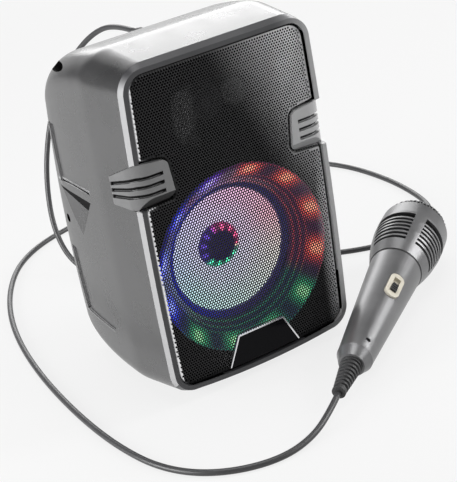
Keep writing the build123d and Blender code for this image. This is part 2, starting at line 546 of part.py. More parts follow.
save("spider", turned(spider + [(r, d + SPIDER_THICKNESS) for r, d in reversed(spider)], 0, WOOFER_HEIGHT))

# ---------------------------------------------------------------- horn and tweeter in the upper baffle
mouth = RectangleRounded(HORN_WIDTH, HORN_TALL, 6)
throat = RectangleRounded(2 * TWEETER_RADIUS + 6, 2 * TWEETER_RADIUS + 4, 5)
HORN_WALL = 1.6
horn = loft(Sketch() + [Plane.XZ.offset(-y_at(BAFFLE_DEPTH)) * Pos(0, HORN_HEIGHT) * mouth,
                        Plane.XZ.offset(-y_at(BAFFLE_DEPTH + HORN_DEPTH)) * Pos(0, HORN_HEIGHT) * throat])
horn -= loft(Sketch() + [
    Plane.XZ.offset(-y_at(BAFFLE_DEPTH - 0.01)) * Pos(0, HORN_HEIGHT) * RectangleRounded(
        HORN_WIDTH - 2 * HORN_WALL, HORN_TALL - 2 * HORN_WALL, 5),
    Plane.XZ.offset(-y_at(BAFFLE_DEPTH + HORN_DEPTH - HORN_WALL)) * Pos(0, HORN_HEIGHT) * RectangleRounded(
        2 * TWEETER_RADIUS + 3, 2 * TWEETER_RADIUS + 1, 4)])
horn -= rod(0, HORN_HEIGHT, TWEETER_RADIUS, BAFFLE_DEPTH, BAFFLE_DEPTH + HORN_DEPTH + 1)
save("horn_flare", horn)
tweeter_front = BAFFLE_DEPTH + HORN_DEPTH
save("tweeter",
     turned([(0, tweeter_front - 4.5), (6, tweeter_front - 3.6), (9.5, tweeter_front - 1.2), (9.9, tweeter_front),
             (TWEETER_RADIUS + 1.5, tweeter_front), (TWEETER_RADIUS + 1.5, tweeter_front + 3), (0, tweeter_front + 3)],
            0, HORN_HEIGHT),
     rod(0, HORN_HEIGHT, 13.0, tweeter_front + 3, tweeter_front + 12))

# ---------------------------------------------------------------- bass port
port_inner_end = back_plate_front + PLATE_THICKNESS + 12
save("port_tube", turned([
    (PORT_BORE, port_inner_end), (PORT_BORE + PORT_WALL, port_inner_end), (PORT_BORE + PORT_WALL, DEPTH),
    (PORT_BORE + 5.0, DEPTH), (PORT_BORE + 5.0, DEPTH + 1.0), (PORT_BORE + 2.5, DEPTH + 1.0),
    (PORT_BORE, DEPTH - 3.0)], 0, PORT_HEIGHT))

# ---------------------------------------------------------------- control panel
panel_face = DEPTH - PANEL_RECESS
lip_back = DEPTH - WALL - SEAT_GAP
plate_front_depth = lip_back - PLATE_BACK
cap_front = plate_front_depth - BUTTON_PLAY - BUTTON_TRAVEL
tact_top = cap_front - BUTTON_FLANGE - BUTTON_TRAVEL - TACT_PLAY
board_back = tact_top - TACT_HEIGHT
board_front = board_back - BOARD_THICKNESS
lip_high = PANEL_HIGH + 1.6
lip_low = PANEL_LOW - PANEL_LIP
panel = front_prism(Pos(0, panel_centre) * RectangleRounded(2 * PANEL_HALF, panel_tall, PANEL_CORNER),
                    plate_front_depth, panel_face)
panel += front_prism(Pos(0, (lip_high + lip_low) / 2) * RectangleRounded(
    2 * (PANEL_HALF + PANEL_LIP), lip_high - lip_low, 12.5), plate_front_depth, lip_back)
through = (plate_front_depth - 1, panel_face + 1)
panel -= rod(JACK_X, JACK_HEIGHT, 4.6, *through)
panel -= rod(AUX_X, PORT_ROW, 3.2, *through)
USB_WIDE, USB_TALL = 14.0, 6.8
CARD_WIDE, CARD_TALL = 13.0, 2.6
CHARGE_WIDE, CHARGE_TALL = 9.6, 3.8
for x, wide, tall in ((USB_X, USB_WIDE, USB_TALL), (CARD_X, CARD_WIDE, CARD_TALL), (CHARGE_X, CHARGE_WIDE, CHARGE_TALL)):
    panel -= block(x - wide / 2, x + wide / 2, *through, PORT_ROW - tall / 2, PORT_ROW + tall / 2)
for x in KNOB_XS.values():
    panel -= rod(x, KNOB_ROW, SHAFT_RADIUS + SLIP, *through)
for x in BUTTON_XS.values():
    panel -= rod(x, BUTTON_ROW, BUTTON_RADIUS + SLIP, *through)
POWER_WIDE, POWER_TALL = 5.0, 4.0
slot_wide = POWER_WIDE + POWER_TRAVEL + 2 * SLIP
panel -= block(POWER_X - slot_wide / 2, POWER_X + slot_wide / 2, *through,
               KNOB_ROW - POWER_TALL / 2 - SLIP, KNOB_ROW + POWER_TALL / 2 + SLIP)
board_x = PANEL_HALF - 2
board_low, board_step, board_high = PANEL_LOW + 4, PANEL_LOW + 43, PANEL_LOW + 50
post_x, post_z = board_x - 4, BUTTON_ROW + 11
BOARD_POSTS = [(-post_x, post_z), (post_x, post_z), (-post_x, board_high - 4.5), (post_x / 2, board_high - 4.5)]
for x, z in BOARD_POSTS:
    panel += rod(x, z, 2.4, board_back, plate_front_depth)
save("control_panel", panel)

JACK_DEEP = 32.0
save("mic_jack", turned([
    (JACK_BORE, panel_face + 2.6), (JACK_RADIUS - 1, panel_face + 2.6), (JACK_RADIUS, panel_face + 1.8),
    (JACK_RADIUS, panel_face), (4.3, panel_face), (4.3, plate_front_depth), (JACK_RADIUS, plate_front_depth),
    (JACK_RADIUS, plate_front_depth - JACK_DEEP), (0, plate_front_depth - JACK_DEEP),
    (0, plate_front_depth - JACK_DEEP + 1.5), (JACK_BORE, plate_front_depth - JACK_DEEP + 1.5)],
    JACK_X, JACK_HEIGHT))
save("aux_jack", turned([
    (AUX_BORE, panel_face + 0.4), (3.0, panel_face + 0.4), (3.0, plate_front_depth), (3.9, plate_front_depth),
    (3.9, panel_face + 0.4 - AUX_LENGTH - 1.2), (0, panel_face + 0.4 - AUX_LENGTH - 1.2),
    (0, panel_face + 0.4 - AUX_LENGTH), (AUX_BORE, panel_face + 0.4 - AUX_LENGTH)], AUX_X, PORT_ROW))


def socket(x, wide, tall, deep, shell, tongue):
    """Rectangular socket behind the panel: a shell open to the rear, with a contact tongue where it has one."""
    rear = panel_face - 0.3
    front = rear - deep
    body = block(x - wide / 2 + SLIP, x + wide / 2 - SLIP, front, rear, PORT_ROW - tall / 2 + SLIP, PORT_ROW + tall / 2 - SLIP)
    body += block(x - wide / 2 - 1, x + wide / 2 + 1, front, plate_front_depth, PORT_ROW - tall / 2 - 1, PORT_ROW + tall / 2 + 1)
    body -= block(x - wide / 2 + shell, x + wide / 2 - shell, front + 1.2, rear + 1,
                  PORT_ROW - tall / 2 + shell, PORT_ROW + tall / 2 - shell)
    if tongue:
        body += block(x - wide / 2 + 2 * shell, x + wide / 2 - 2 * shell, front + 1.0, rear - 2,
                      PORT_ROW + tall / 2 - shell - tongue, PORT_ROW + tall / 2 - shell)
    return body


save("usb_port", socket(USB_X, USB_WIDE, USB_TALL, 14.0, 0.7, 0.9))
save("card_slot", socket(CARD_X, CARD_WIDE, CARD_TALL, 13.0, 0.6, 0))
save("charge_port", socket(CHARGE_X, CHARGE_WIDE, CHARGE_TALL, 7.0, 0.6, 0.7))

pots = []
pot_back = plate_front_depth - SEAT_GAP
for name, x in KNOB_XS.items():
    knob_front = panel_face + 0.5
    knob = turned([(0, pot_back - 6), (SHAFT_RADIUS, pot_back - 6), (SHAFT_RADIUS, knob_front), (KNOB_RADIUS, knob_front),
                   (KNOB_RADIUS - 0.4, knob_front + KNOB_HEIGHT - 1), (KNOB_RADIUS - 1.4, knob_front + KNOB_HEIGHT),
                   (0, knob_front + KNOB_HEIGHT)], x, KNOB_ROW)
    knob -= block(x - 0.6, x + 0.6, knob_front + KNOB_HEIGHT - 0.8, knob_front + KNOB_HEIGHT + 1,
                  KNOB_ROW + 2, KNOB_ROW + KNOB_RADIUS + 1)
    for i in range(16):
        a = 2 * math.pi * (i + 0.5) / 16
        knob -= rod(x + KNOB_RADIUS * math.cos(a), KNOB_ROW + KNOB_RADIUS * math.sin(a), 0.55, knob_front + 1.5,
                    knob_front + KNOB_HEIGHT + 1)
    save(name, knob)
    pots.append(block(x - 6, x + 6, board_back, pot_back, KNOB_ROW - 6, KNOB_ROW + 6)
                - rod(x, KNOB_ROW, SHAFT_RADIUS + SHAFT_CLEARANCE, pot_back - 6.2, pot_back + 1))
save("potentiometers", *pots)

# slide switch for power: its knob starts at the low end of its slot
power_x = POWER_X - POWER_TRAVEL / 2
save("power_slider", block(power_x - POWER_WIDE / 2, power_x + POWER_WIDE / 2, plate_front_depth - 2, panel_face + 2.4,
                           KNOB_ROW - POWER_TALL / 2, KNOB_ROW + POWER_TALL / 2))
switch_back = plate_front_depth - SEAT_GAP
save("power_switch_body",
     block(POWER_X - 8, POWER_X + 8, board_back, switch_back, KNOB_ROW - 4.5, KNOB_ROW + 4.5)
     - block(POWER_X - slot_wide / 2, POWER_X + slot_wide / 2, switch_back - 2.4, switch_back + 1,
             KNOB_ROW - POWER_TALL / 2 - SLIP, KNOB_ROW + POWER_TALL / 2 + SLIP))

tacts = []
for name, x in BUTTON_XS.items():
    flange_radius = BUTTON_RADIUS + 1.2
    save(name, turned([
        (0, cap_front - BUTTON_FLANGE), (flange_radius, cap_front - BUTTON_FLANGE),
        (flange_radius, cap_front + BUTTON_TRAVEL),
        (BUTTON_RADIUS, cap_front + BUTTON_TRAVEL), (BUTTON_RADIUS, panel_face + 1.4), (BUTTON_RADIUS - 0.5, panel_face + 1.9),
        (0, panel_face + 2.0)], x, BUTTON_ROW))
    tacts.append(block(x - 3, x + 3, board_back, tact_top - 1.2, BUTTON_ROW - 3, BUTTON_ROW + 3)
                 + rod(x, BUTTON_ROW, 1.7, tact_top - 1.2, tact_top))
save("tact_switches", *tacts)

# ---------------------------------------------------------------- main board and battery
board_notch = JACK_X - 15     # the board is cut back under the microphone jack
board = block(-board_x, board_x, board_front, board_back, board_low, board_step)
board += block(-board_x, board_notch, board_front, board_back, board_step, board_high)
board_middle = (board_low + board_high) / 2
save("main_board", board,
     block(-12, 8, board_front - 2.4, board_front, board_middle - 6, board_middle + 14),
     block(20, 34, board_front - 9, board_front, board_middle - 18, board_middle - 2),
     rod(-32, board_middle - 9, 5, board_front - 14, board_front),
     rod(-32, board_middle + 6, 4, board_front - 11, board_front))
cell_z = CELL_BOTTOM + 2.4 + CELL_RADIUS
cell_y = y_at((HOLDER_FRONT + HOLDER_BACK) / 2)
cell_half = CELL_LENGTH / 2
cell = Pos(0, cell_y, cell_z) * Rot(0, 90, 0) * Cylinder(CELL_RADIUS, CELL_LENGTH)
holder = block(-cell_half - 5, cell_half + 5, HOLDER_FRONT, HOLDER_BACK, CELL_BOTTOM, cell_z)
holder -= Pos(0, cell_y, cell_z) * Rot(0, 90, 0) * Cylinder(CELL_RADIUS + SEAT_GAP, CELL_LENGTH + 2 * SEAT_GAP)
save("battery_cell", cell)
save("battery_holder", holder)

# ---------------------------------------------------------------- microphone
heading = math.radians(MIC_HEADING)
lean = math.asin((HEAD_RADIUS - TAIL_RADIUS) / (HEAD_RING - COLLAR_END))
mic_axis = Vector(math.cos(heading) * math.cos(lean), math.sin(heading) * math.cos(lean), math.sin(lean))
tail_height = TAIL_RADIUS / math.cos(lean) - COLLAR_END * math.tan(lean) * math.cos(lean) + 0.05
upward = (Vector(0, 0, 1) - mic_axis * mic_axis.Z).normalized()
sideways = mic_axis.cross(upward)
turn = math.radians(MIC_SWITCH_TURN)
switch_way = upward * math.cos(turn) + sideways * math.sin(turn)
tail_end = Vector(MIC_TAIL[0], MIC_TAIL[1], tail_height)
on_mic = Plane(origin=tail_end, x_dir=switch_way, z_dir=mic_axis).location
print("microphone: tail end", tail_end, "axis", mic_axis, "switch way", switch_way)


def mic_turned(profile):
    """Solid of revolution on the microphone's axis; the profile is (radius, distance from the tail) points."""
    face = make_face(Polyline(*[(r, 0, t) for r, t in profile], close=True))
    return revolve(face, Axis.Z, 360)


def handle_radius(t):
    return TAIL_RADIUS + (HANDLE_TOP_RADIUS - TAIL_RADIUS) * (t - COLLAR_END) / (HANDLE_TOP - COLLAR_END)


HANDLE_WALL = 2.4
collar_front = COLLAR_END + 2.0
handle = mic_turned([
    (handle_radius(collar_front), collar_front), (handle_radius(HANDLE_TOP), HANDLE_TOP),
    (HANDLE_TOP_RADIUS - HANDLE_WALL, HANDLE_TOP),
    (handle_radius(SWITCH_AT + 20) - HANDLE_WALL, SWITCH_AT + 20), (handle_radius(SWITCH_AT + 15) - 5.5, SWITCH_AT + 15),
    (handle_radius(SWITCH_AT - 16) - 5.0, SWITCH_AT - 16), (handle_radius(SWITCH_AT - 20) - HANDLE_WALL, SWITCH_AT - 20),
    (handle_radius(collar_front) - HANDLE_WALL, collar_front)])
switch_radius = handle_radius(SWITCH_AT)
SWITCH_PLANE = Plane(origin=(0, 0, SWITCH_AT), x_dir=(0, 0, 1), z_dir=(1, 0, 0))
plate_base, plate_top = switch_radius - 3.0, switch_radius + 0.9
handle -= extrude(SWITCH_PLANE.offset(plate_base) * SlotOverall(SWITCH_LENGTH + 2 * SLIP, SWITCH_WIDTH + 2 * SLIP), 12)
SCREW_AT = 50.0
handle -= Pos(handle_radius(SCREW_AT) - 1.4, 0, SCREW_AT) * Rot(0, 90, 0) * Cylinder(2.0, 4)
save("mic_handle", on_mic * handle)
save("mic_screw", on_mic * (Pos(handle_radius(SCREW_AT) - 2.4, 0, SCREW_AT) * Rot(0, 90, 0) * Cylinder(1.8, 1.6)))

SLIDER_LENGTH, SLIDER_WIDTH = 8.4, 4.8
window_length = SLIDER_LENGTH + SWITCH_TRAVEL + 2 * SLIP
plate = extrude(SWITCH_PLANE.offset(plate_base) * SlotOverall(SWITCH_LENGTH, SWITCH_WIDTH), plate_top - plate_base)
plate = fillet(plate.edges().group_by(Axis.X)[-1], 0.5)
plate -= extrude(SWITCH_PLANE.offset(plate_base + 1.2) * Rectangle(window_length, SLIDER_WIDTH + 2 * SLIP), 8)
save("mic_switch_plate", on_mic * plate)
slider_at = -SWITCH_TRAVEL / 2
slider_base = plate_base + 1.2 + SEAT_GAP
slider = extrude(SWITCH_PLANE.offset(slider_base) * Pos(slider_at, 0) * Rectangle(SLIDER_LENGTH, SLIDER_WIDTH),
                 plate_top + 1.5 - slider_base)
for i in range(3):
    slider -= Pos(plate_top + 1.5, 0, SWITCH_AT + slider_at + 2.2 * (i - 1)) * Box(1.0, SLIDER_WIDTH + 1, 0.8)
save("mic_switch_slider", on_mic * slider)

head_base = HANDLE_TOP + 1.2
head_profile = [(HANDLE_TOP_RADIUS + 0.5, head_base), (23.6, head_base + 12), (25.6, head_base + 22),
                (HEAD_RADIUS, HEAD_RING), (HEAD_RADIUS + 0.1, HEAD_RING + 10), (HEAD_RADIUS - 0.4, DOME_START)]
head_inner = [(r - HEAD_WALL, t) for r, t in reversed(head_profile)]
head_outer_face = mic_turned(head_profile + head_inner)
cut_low = SLOT_START
for i in range(SLOTS + 1):
    tall = SLOT_HEIGHT if i < SLOTS else TALL_SLOT
    for j in range(WINDOWS):
        middle = 90.0 * j + 33.0
        a0 = math.radians(middle - WINDOW_ANGLE / 2)
        a1 = math.radians(middle + WINDOW_ANGLE / 2)
        sector = make_face(Polyline((0, 0), (60 * math.cos(a0), 60 * math.sin(a0)),
                                    (60 * math.cos(a1), 60 * math.sin(a1)), close=True))
        head_outer_face -= Pos(0, 0, cut_low) * extrude(sector, tall)
    cut_low += SLOT_PITCH
save("mic_head_shell", on_mic * head_outer_face)

seam = mic_turned([(HANDLE_TOP_RADIUS - 3, HANDLE_TOP), (HANDLE_TOP_RADIUS + 0.1, HANDLE_TOP),
                   (HANDLE_TOP_RADIUS + 0.1, head_base), (HANDLE_TOP_RADIUS - 3, head_base)])
save("mic_seam_ring", on_mic * seam)

dome_steps = [math.radians(15 * i) for i in range(7)]
DOME_SHELL = 1.2
dome_outer = [(DOME_RADIUS * math.cos(t), DOME_START + DOME_HEIGHT * math.sin(t)) for t in dome_steps]
dome_inner = [((DOME_RADIUS - DOME_SHELL) * math.cos(t), DOME_START + (DOME_HEIGHT - DOME_SHELL) * math.sin(t))
              for t in reversed(dome_steps)]
dome_outer[-1] = (0, DOME_START + DOME_HEIGHT)
dome_inner[0] = (0, DOME_START + DOME_HEIGHT - DOME_SHELL)
save("mic_dome", on_mic * mic_turned(dome_outer + dome_inner))

liner_gap = HEAD_WALL + SEAT_GAP
save("mic_liner", on_mic * mic_turned([
    (23.6 - liner_gap - 0.6, head_base + 10), (25.6 - liner_gap - 0.4, head_base + 22), (HEAD_RADIUS - liner_gap, HEAD_RING + 3),
    (HEAD_RADIUS - liner_gap - 0.6, DOME_START - 1), (HEAD_RADIUS - liner_gap - 2.5, DOME_START - 1),
    (HEAD_RADIUS - liner_gap - 2.5, HEAD_RING + 3), (25.6 - liner_gap - 2.9, head_base + 22),
    (23.6 - liner_gap - 3.1, head_base + 10)]))
CAPSULE_RADIUS = 13.5
capsule_base = HANDLE_TOP + 1.2
save("mic_capsule", on_mic * mic_turned([
    (0, capsule_base), (HANDLE_TOP_RADIUS - 2.2, capsule_base), (HANDLE_TOP_RADIUS - 2.2, capsule_base + 3),
    (CAPSULE_RADIUS, capsule_base + 5), (CAPSULE_RADIUS, DOME_START - 14), (CAPSULE_RADIUS - 2, DOME_START - 11),
    (0, DOME_START - 11)]))

relief_end = 33.0
save("mic_tail_collar", on_mic * mic_turned([
    (6.4, relief_end), (9.6, relief_end), (handle_radius(collar_front) - 0.8, COLLAR_END - 1.2),
    (handle_radius(collar_front), COLLAR_END + 0.4), (handle_radius(collar_front), collar_front), (6.4, collar_front)]))
CAP_LENGTH = 4.5
RIBS = 8
rib_pitch = (relief_end - CAP_LENGTH) / RIBS
relief = [(0, 0), (4.6, 0), (5.0, 0.6), (5.0, CAP_LENGTH - 0.4)]
for i in range(RIBS):
    low = CAP_LENGTH + i * rib_pitch
    widest = 5.3 + 2.6 * i / (RIBS - 1)
    relief += [(widest - 1.1, low), (widest - 1.1, low + 0.35 * rib_pitch), (widest, low + 0.45 * rib_pitch),
               (widest, low + 0.95 * rib_pitch)]
relief += [(6.2, relief_end), (6.2, collar_front - 0.5), (0, collar_front - 0.5)]
save("mic_strain_relief", on_mic * mic_turned(relief))

# ---------------------------------------------------------------- plug in the jack
plug_shoulder = panel_face + 2.6 + SEAT_GAP
pin_tip = plug_shoulder - 30.0
save("plug_pin", turned([
    (0, pin_tip), (1.2, pin_tip), (PLUG_RADIUS - 0.1, pin_tip + 3), (2.3, pin_tip + 5.5), (PLUG_RADIUS - 0.1, pin_tip + 6.5),
    (PLUG_RADIUS, pin_tip + 8), (PLUG_RADIUS, plug_shoulder), (0, plug_shoulder)], JACK_X, JACK_HEIGHT))
grip_end = plug_shoulder + PLUG_GRIP_LENGTH
save("plug_grip", turned([
    (0, plug_shoulder), (PLUG_GRIP_RADIUS - 0.8, plug_shoulder), (PLUG_GRIP_RADIUS, plug_shoulder + 1.2),
    (PLUG_GRIP_RADIUS, grip_end - 12), (PLUG_GRIP_RADIUS - 0.9, grip_end), (0, grip_end)], JACK_X, JACK_HEIGHT))
boot_end = grip_end + PLUG_BOOT_LENGTH
BOOT_RIBS = 4
boot = [(0, grip_end), (PLUG_GRIP_RADIUS - 1.4, grip_end)]
boot_pitch = (PLUG_BOOT_LENGTH - 6) / BOOT_RIBS
for i in range(BOOT_RIBS):
    low = grip_end + 3 + i * boot_pitch
    widest = PLUG_GRIP_RADIUS - 0.9 - 0.35 * i
    boot += [(widest - 1.3, low), (widest, low + 0.6), (widest, low + 0.6 * boot_pitch), (widest - 1.3, low + 0.72 * boot_pitch)]
boot += [(CORD_RADIUS + 1.0, boot_end), (0, boot_end)]
save("plug_boot", turned(boot, JACK_X, JACK_HEIGHT))

# ---------------------------------------------------------------- cord, from the microphone's tail to the plug
exit_way = mic_axis * -1
first = tail_end + exit_way * 22
CORD_ROUTE = [
    (tail_end.X, tail_end.Y, tail_end.Z), (first.X, first.Y, first.Z),
    (-34, -169, 3.6), (-60, -174, FLOOR_LIFT), (-88, -167, FLOOR_LIFT), (-112, -149, FLOOR_LIFT),
    (-127, -121, FLOOR_LIFT), (-133, -83, FLOOR_LIFT), (-134, -38, FLOOR_LIFT), (-131, 12, FLOOR_LIFT),
    (-125, 62, FLOOR_LIFT), (-115, 114, FLOOR_LIFT), (-100, 164, FLOOR_LIFT), (-79, 210, FLOOR_LIFT),
    (-52, 250, FLOOR_LIFT), (-19, 276, FLOOR_LIFT), (22, 290, FLOOR_LIFT), (68, 295, FLOOR_LIFT),
    (116, 294, FLOOR_LIFT), (164, 287, FLOOR_LIFT), (208, 270, FLOOR_LIFT), (243, 240, FLOOR_LIFT),
    (262, 198, FLOOR_LIFT), (267, 150, FLOOR_LIFT), (264, 104, FLOOR_LIFT), (254, 62, FLOOR_LIFT),
    (232, 36, FLOOR_LIFT), (201, 28, FLOOR_LIFT), (168, 36, FLOOR_LIFT), (137, 56, FLOOR_LIFT),
    (108, 84, FLOOR_LIFT), (74, 108, FLOOR_LIFT), (38, 126, FLOOR_LIFT), (8, 146, FLOOR_LIFT),
    (-12, 172, FLOOR_LIFT), (-21, 204, 9), (-21, 228, 32), (-14, 241, 66), (-3, 246, 103), (11, 242, 140),
    (27, 228, 173), (39, 203, 196), (JACK_X, 172, JACK_HEIGHT), (JACK_X, y_at(boot_end), JACK_HEIGHT),
]


def cord_radii(points):
    """Largest bend at each inner point: 0.45 of the shorter run over the tangent of half the turn."""
    radii = []
    for a, b, c in zip(points, points[1:], points[2:]):
        run_in, run_out = Vector(*b) - Vector(*a), Vector(*c) - Vector(*b)
        half_turn = math.radians(run_in.get_angle(run_out)) / 2
        radii.append(0.45 * min(run_in.length, run_out.length) / math.tan(half_turn))
    return radii


radii = cord_radii(CORD_ROUTE)
print("cord bend radii:", [round(r) for r in radii])
print("cord runs:", [round((Vector(*b) - Vector(*a)).length) for a, b in zip(CORD_ROUTE, CORD_ROUTE[1:])])
cord_path = FilletPolyline(*CORD_ROUTE, radius=radii)
start_way = Vector(*CORD_ROUTE[1]) - Vector(*CORD_ROUTE[0])
cord = sweep(Plane(origin=CORD_ROUTE[0], z_dir=start_way) * Circle(CORD_RADIUS), path=cord_path)
print("cord length", round(cord_path.length, 1), "volume over section times length",
      round(cord.volume / (math.pi * CORD_RADIUS ** 2 * cord_path.length), 4))
save("mic_cord", cord)
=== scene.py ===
import math

import bpy
import numpy as np
from mathutils import Matrix, Vector
from mathutils.geometry import delaunay_2d_cdt


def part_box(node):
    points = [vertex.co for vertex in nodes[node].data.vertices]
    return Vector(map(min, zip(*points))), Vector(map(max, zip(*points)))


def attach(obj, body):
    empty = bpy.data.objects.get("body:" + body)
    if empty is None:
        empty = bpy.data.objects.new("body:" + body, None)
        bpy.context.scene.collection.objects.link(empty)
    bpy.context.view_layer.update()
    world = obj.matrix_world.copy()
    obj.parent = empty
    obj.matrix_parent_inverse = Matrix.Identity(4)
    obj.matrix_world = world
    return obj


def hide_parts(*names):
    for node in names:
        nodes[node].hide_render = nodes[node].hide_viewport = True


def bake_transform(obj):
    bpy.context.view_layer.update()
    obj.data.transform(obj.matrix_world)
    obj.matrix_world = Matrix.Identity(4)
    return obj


# Portable karaoke speaker with a wired hand microphone. Metres, +Z up, front towards -Y.
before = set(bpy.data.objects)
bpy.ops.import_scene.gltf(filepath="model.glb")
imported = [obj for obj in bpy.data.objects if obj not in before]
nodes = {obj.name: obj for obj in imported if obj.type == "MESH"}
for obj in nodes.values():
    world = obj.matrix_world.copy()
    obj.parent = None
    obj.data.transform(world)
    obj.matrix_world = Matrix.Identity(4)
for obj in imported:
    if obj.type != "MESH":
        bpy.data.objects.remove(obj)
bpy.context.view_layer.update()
scene = bpy.context.scene
MM = 0.001

# ---------------------------------------------------------------- cabinet shell
# The real shell is one injection moulding in charcoal polystyrene, with a fine spark-eroded grain that
# scatters light softly. Hands polish it in patches. The edges of its side hollows carry painted highlights,
# and the notch's steep face and the screw wells carry painted shade.


class Flow:
    """A socket of one material. Operators on it add Math nodes, and node() adds any other node."""

    def __init__(self, tree, socket):
        self.tree, self.socket = tree, socket

    def node(self, kind, settings=None, inputs=None, output=0):
        """Add a node: its settings first, then a value or a link for each named or numbered socket."""
        made = self.tree.nodes.new(kind)
        for key, value in (settings or {}).items():
            if key == "stops":
                ramp = made.color_ramp
                while len(ramp.elements) < len(value):
                    ramp.elements.new(1.0)
                for stop, (place, colour) in zip(ramp.elements, value):
                    stop.position, stop.color = place, (*colour, 1.0)
            else:
                setattr(made, key, value)
        for key, value in (inputs or {}).items():
            if isinstance(value, Flow):
                self.tree.links.new(value.socket, made.inputs[key])
            else:
                made.inputs[key].default_value = value
        return Flow(self.tree, made.outputs[output])

    def maths(self, operation, *values):
        """A Math node on the given values, each of them a socket or a number."""
        return self.node("ShaderNodeMath", {"operation": operation}, dict(enumerate(values)))

    def __add__(self, other):
        return self.maths("ADD", self, other)

    def __radd__(self, other):
        return self.maths("ADD", other, self)

    def __sub__(self, other):
        return self.maths("SUBTRACT", self, other)

    def __rsub__(self, other):
        return self.maths("SUBTRACT", other, self)

    def __mul__(self, other):
        return self.maths("MULTIPLY", self, other)

    def __rmul__(self, other):
        return self.maths("MULTIPLY", other, self)

    def __truediv__(self, other):
        return self.maths("DIVIDE", self, other)

    def __pow__(self, other):
        return self.maths("POWER", self, other)

    def size(self):
        """This without its sign."""
        return self.maths("ABSOLUTE", self)

    def most(self, other):
        """The larger of the two."""
        return self.maths("MAXIMUM", self, other)

    def least(self, other):
        """The smaller of the two."""
        return self.maths("MINIMUM", self, other)

    def wave(self):
        """0 where this is 0 and 1 half a turn on, for an angle in radians."""
        return 0.5 - 0.5 * self.maths("COSINE", self)

    def ripple(self):
        """Half where this is 0 and 1 a quarter of a turn on, for an angle in radians."""
        return 0.5 + 0.5 * self.maths("SINE", self)

    def over(self, edge):
        """1 where this is more than the edge, else 0."""
        return self.maths("GREATER_THAN", self, edge)

    def under(self, edge):
        """1 where this isn't more than the edge, else 0."""
        return 1 - self.over(edge)

    def between(self, low, high):
        """1 where this is more than low and not more than high, else 0."""
        return self.over(low) * self.under(high)

    def rise(self, low, high):
        """A smooth step from 0 at low to 1 at high."""
        return self.node("ShaderNodeMapRange", {"interpolation_type": "SMOOTHSTEP"},
                         {"Value": self, "From Min": low, "From Max": high})

    def blend(self, first, second):
        """Colour that goes from the first to the second as this goes from 0 to 1."""
        pair = [(*c, 1.0) if isinstance(c, tuple) else c for c in (first, second)]
        return self.node("ShaderNodeMix", {"data_type": "RGBA"}, {0: self, 6: pair[0], 7: pair[1]}, 2)

    def parts(self):
        """The x, y and z of a vector."""
        split = self.tree.nodes.new("ShaderNodeSeparateXYZ")
        self.tree.links.new(self.socket, split.inputs[0])
        return [Flow(self.tree, out) for out in split.outputs]

    def ramp(self, stops):
        """Colour by the stops, each a place from 0 to 1 and a colour."""
        return self.node("ShaderNodeValToRGB", {"stops": stops}, {"Fac": self})

    def noise(self, scale, detail=2.0, rough=0.5):
        """Noise from 0 to 1 with so many waves to the metre, for a place."""
        inputs = {"Vector": self, "Scale": scale, "Detail": detail, "Roughness": rough}
        return self.node("ShaderNodeTexNoise", {}, inputs)


def diagonal(first, second):
    """Distance from two offsets at right angles."""
    return (first * first + second * second) ** 0.5


class Finish:
    """A Principled material. Constants go on its own sockets, and feed() links what changes."""

    def __init__(self, name, **constants):
        self.material = bpy.data.materials.new(name)
        self.material.use_nodes = True
        self.tree = self.material.node_tree
        self.shader = self.tree.nodes["Principled BSDF"]
        for key, value in constants.items():
            socket = self.shader.inputs[key.replace("_", " ")]
            socket.default_value = (*value, 1.0) if isinstance(value, tuple) and len(value) == 3 else value
        self.place = Flow(self.tree, self.tree.nodes.new("ShaderNodeTexCoord").outputs["Object"])

    def feed(self, **links):
        """Link what changes over the surface to the sockets of these names."""
        for key, value in links.items():
            self.tree.links.new(value.socket, self.shader.inputs[key.replace("_", " ")])
        return self

    def fed(self, name):
        """What is already linked to one of the shader's sockets."""
        return Flow(self.tree, self.shader.inputs[name].links[0].from_socket)

    def paint_shade(self, mask, colour=(0.004, 0.004, 0.004)):
        """Painted shade: dead black where the mask is 1, with hardly any reflection and none of it sharp."""
        base, rough = self.fed("Base Color"), self.fed("Roughness")
        return self.feed(Base_Color=mask.blend(base, colour), Metallic=mask, Roughness=rough.most(mask))

    def bump(self, height, depth, under=None):
        """Relief: height 0 to 1 over a depth in metres, over another relief if one is given."""
        inputs = {"Height": height, "Distance": depth, "Strength": 1.0}
        if under is not None:
            inputs["Normal"] = under
        return self.place.node("ShaderNodeBump", {}, inputs)

    def coat(self, *names):
        """Give the material to CAD nodes, by name, or to new pieces."""
        for name in names:
            piece = nodes[name] if isinstance(name, str) else name
            if piece.data.materials:
                for i in range(len(piece.data.materials)):
                    piece.data.materials[i] = self.material
            else:
                piece.data.materials.append(self.material)
        return self


def moulded(name, colour, roughness, grain=0.6, relief=0.04, index=1.49):
    """Moulded plastic: a grain of the given size in mm, with slow patches of polish and shade."""
    finish = Finish(name, Base_Color=colour, Roughness=roughness, IOR=index)
    place = finish.place
    pits = place.noise(1000.0 / grain, 3.0, 0.6)
    patches = place.noise(28.0, 3.0, 0.55)
    shade = tuple(c * 0.86 for c in colour), tuple(min(1.0, c * 1.16) for c in colour)
    finish.feed(Base_Color=(0.7 * patches + 0.3 * pits).rise(0.3, 0.7).blend(*shade),
                Roughness=roughness - 0.05 + 0.12 * patches,
                Normal=finish.bump(pits, relief * MM))
    return finish


shell = moulded("charcoal_shell", (0.028, 0.028, 0.029), 0.27, grain=0.55, relief=0.03, index=2.00)
x, y, z = shell.place.parts()
aside = x.size()
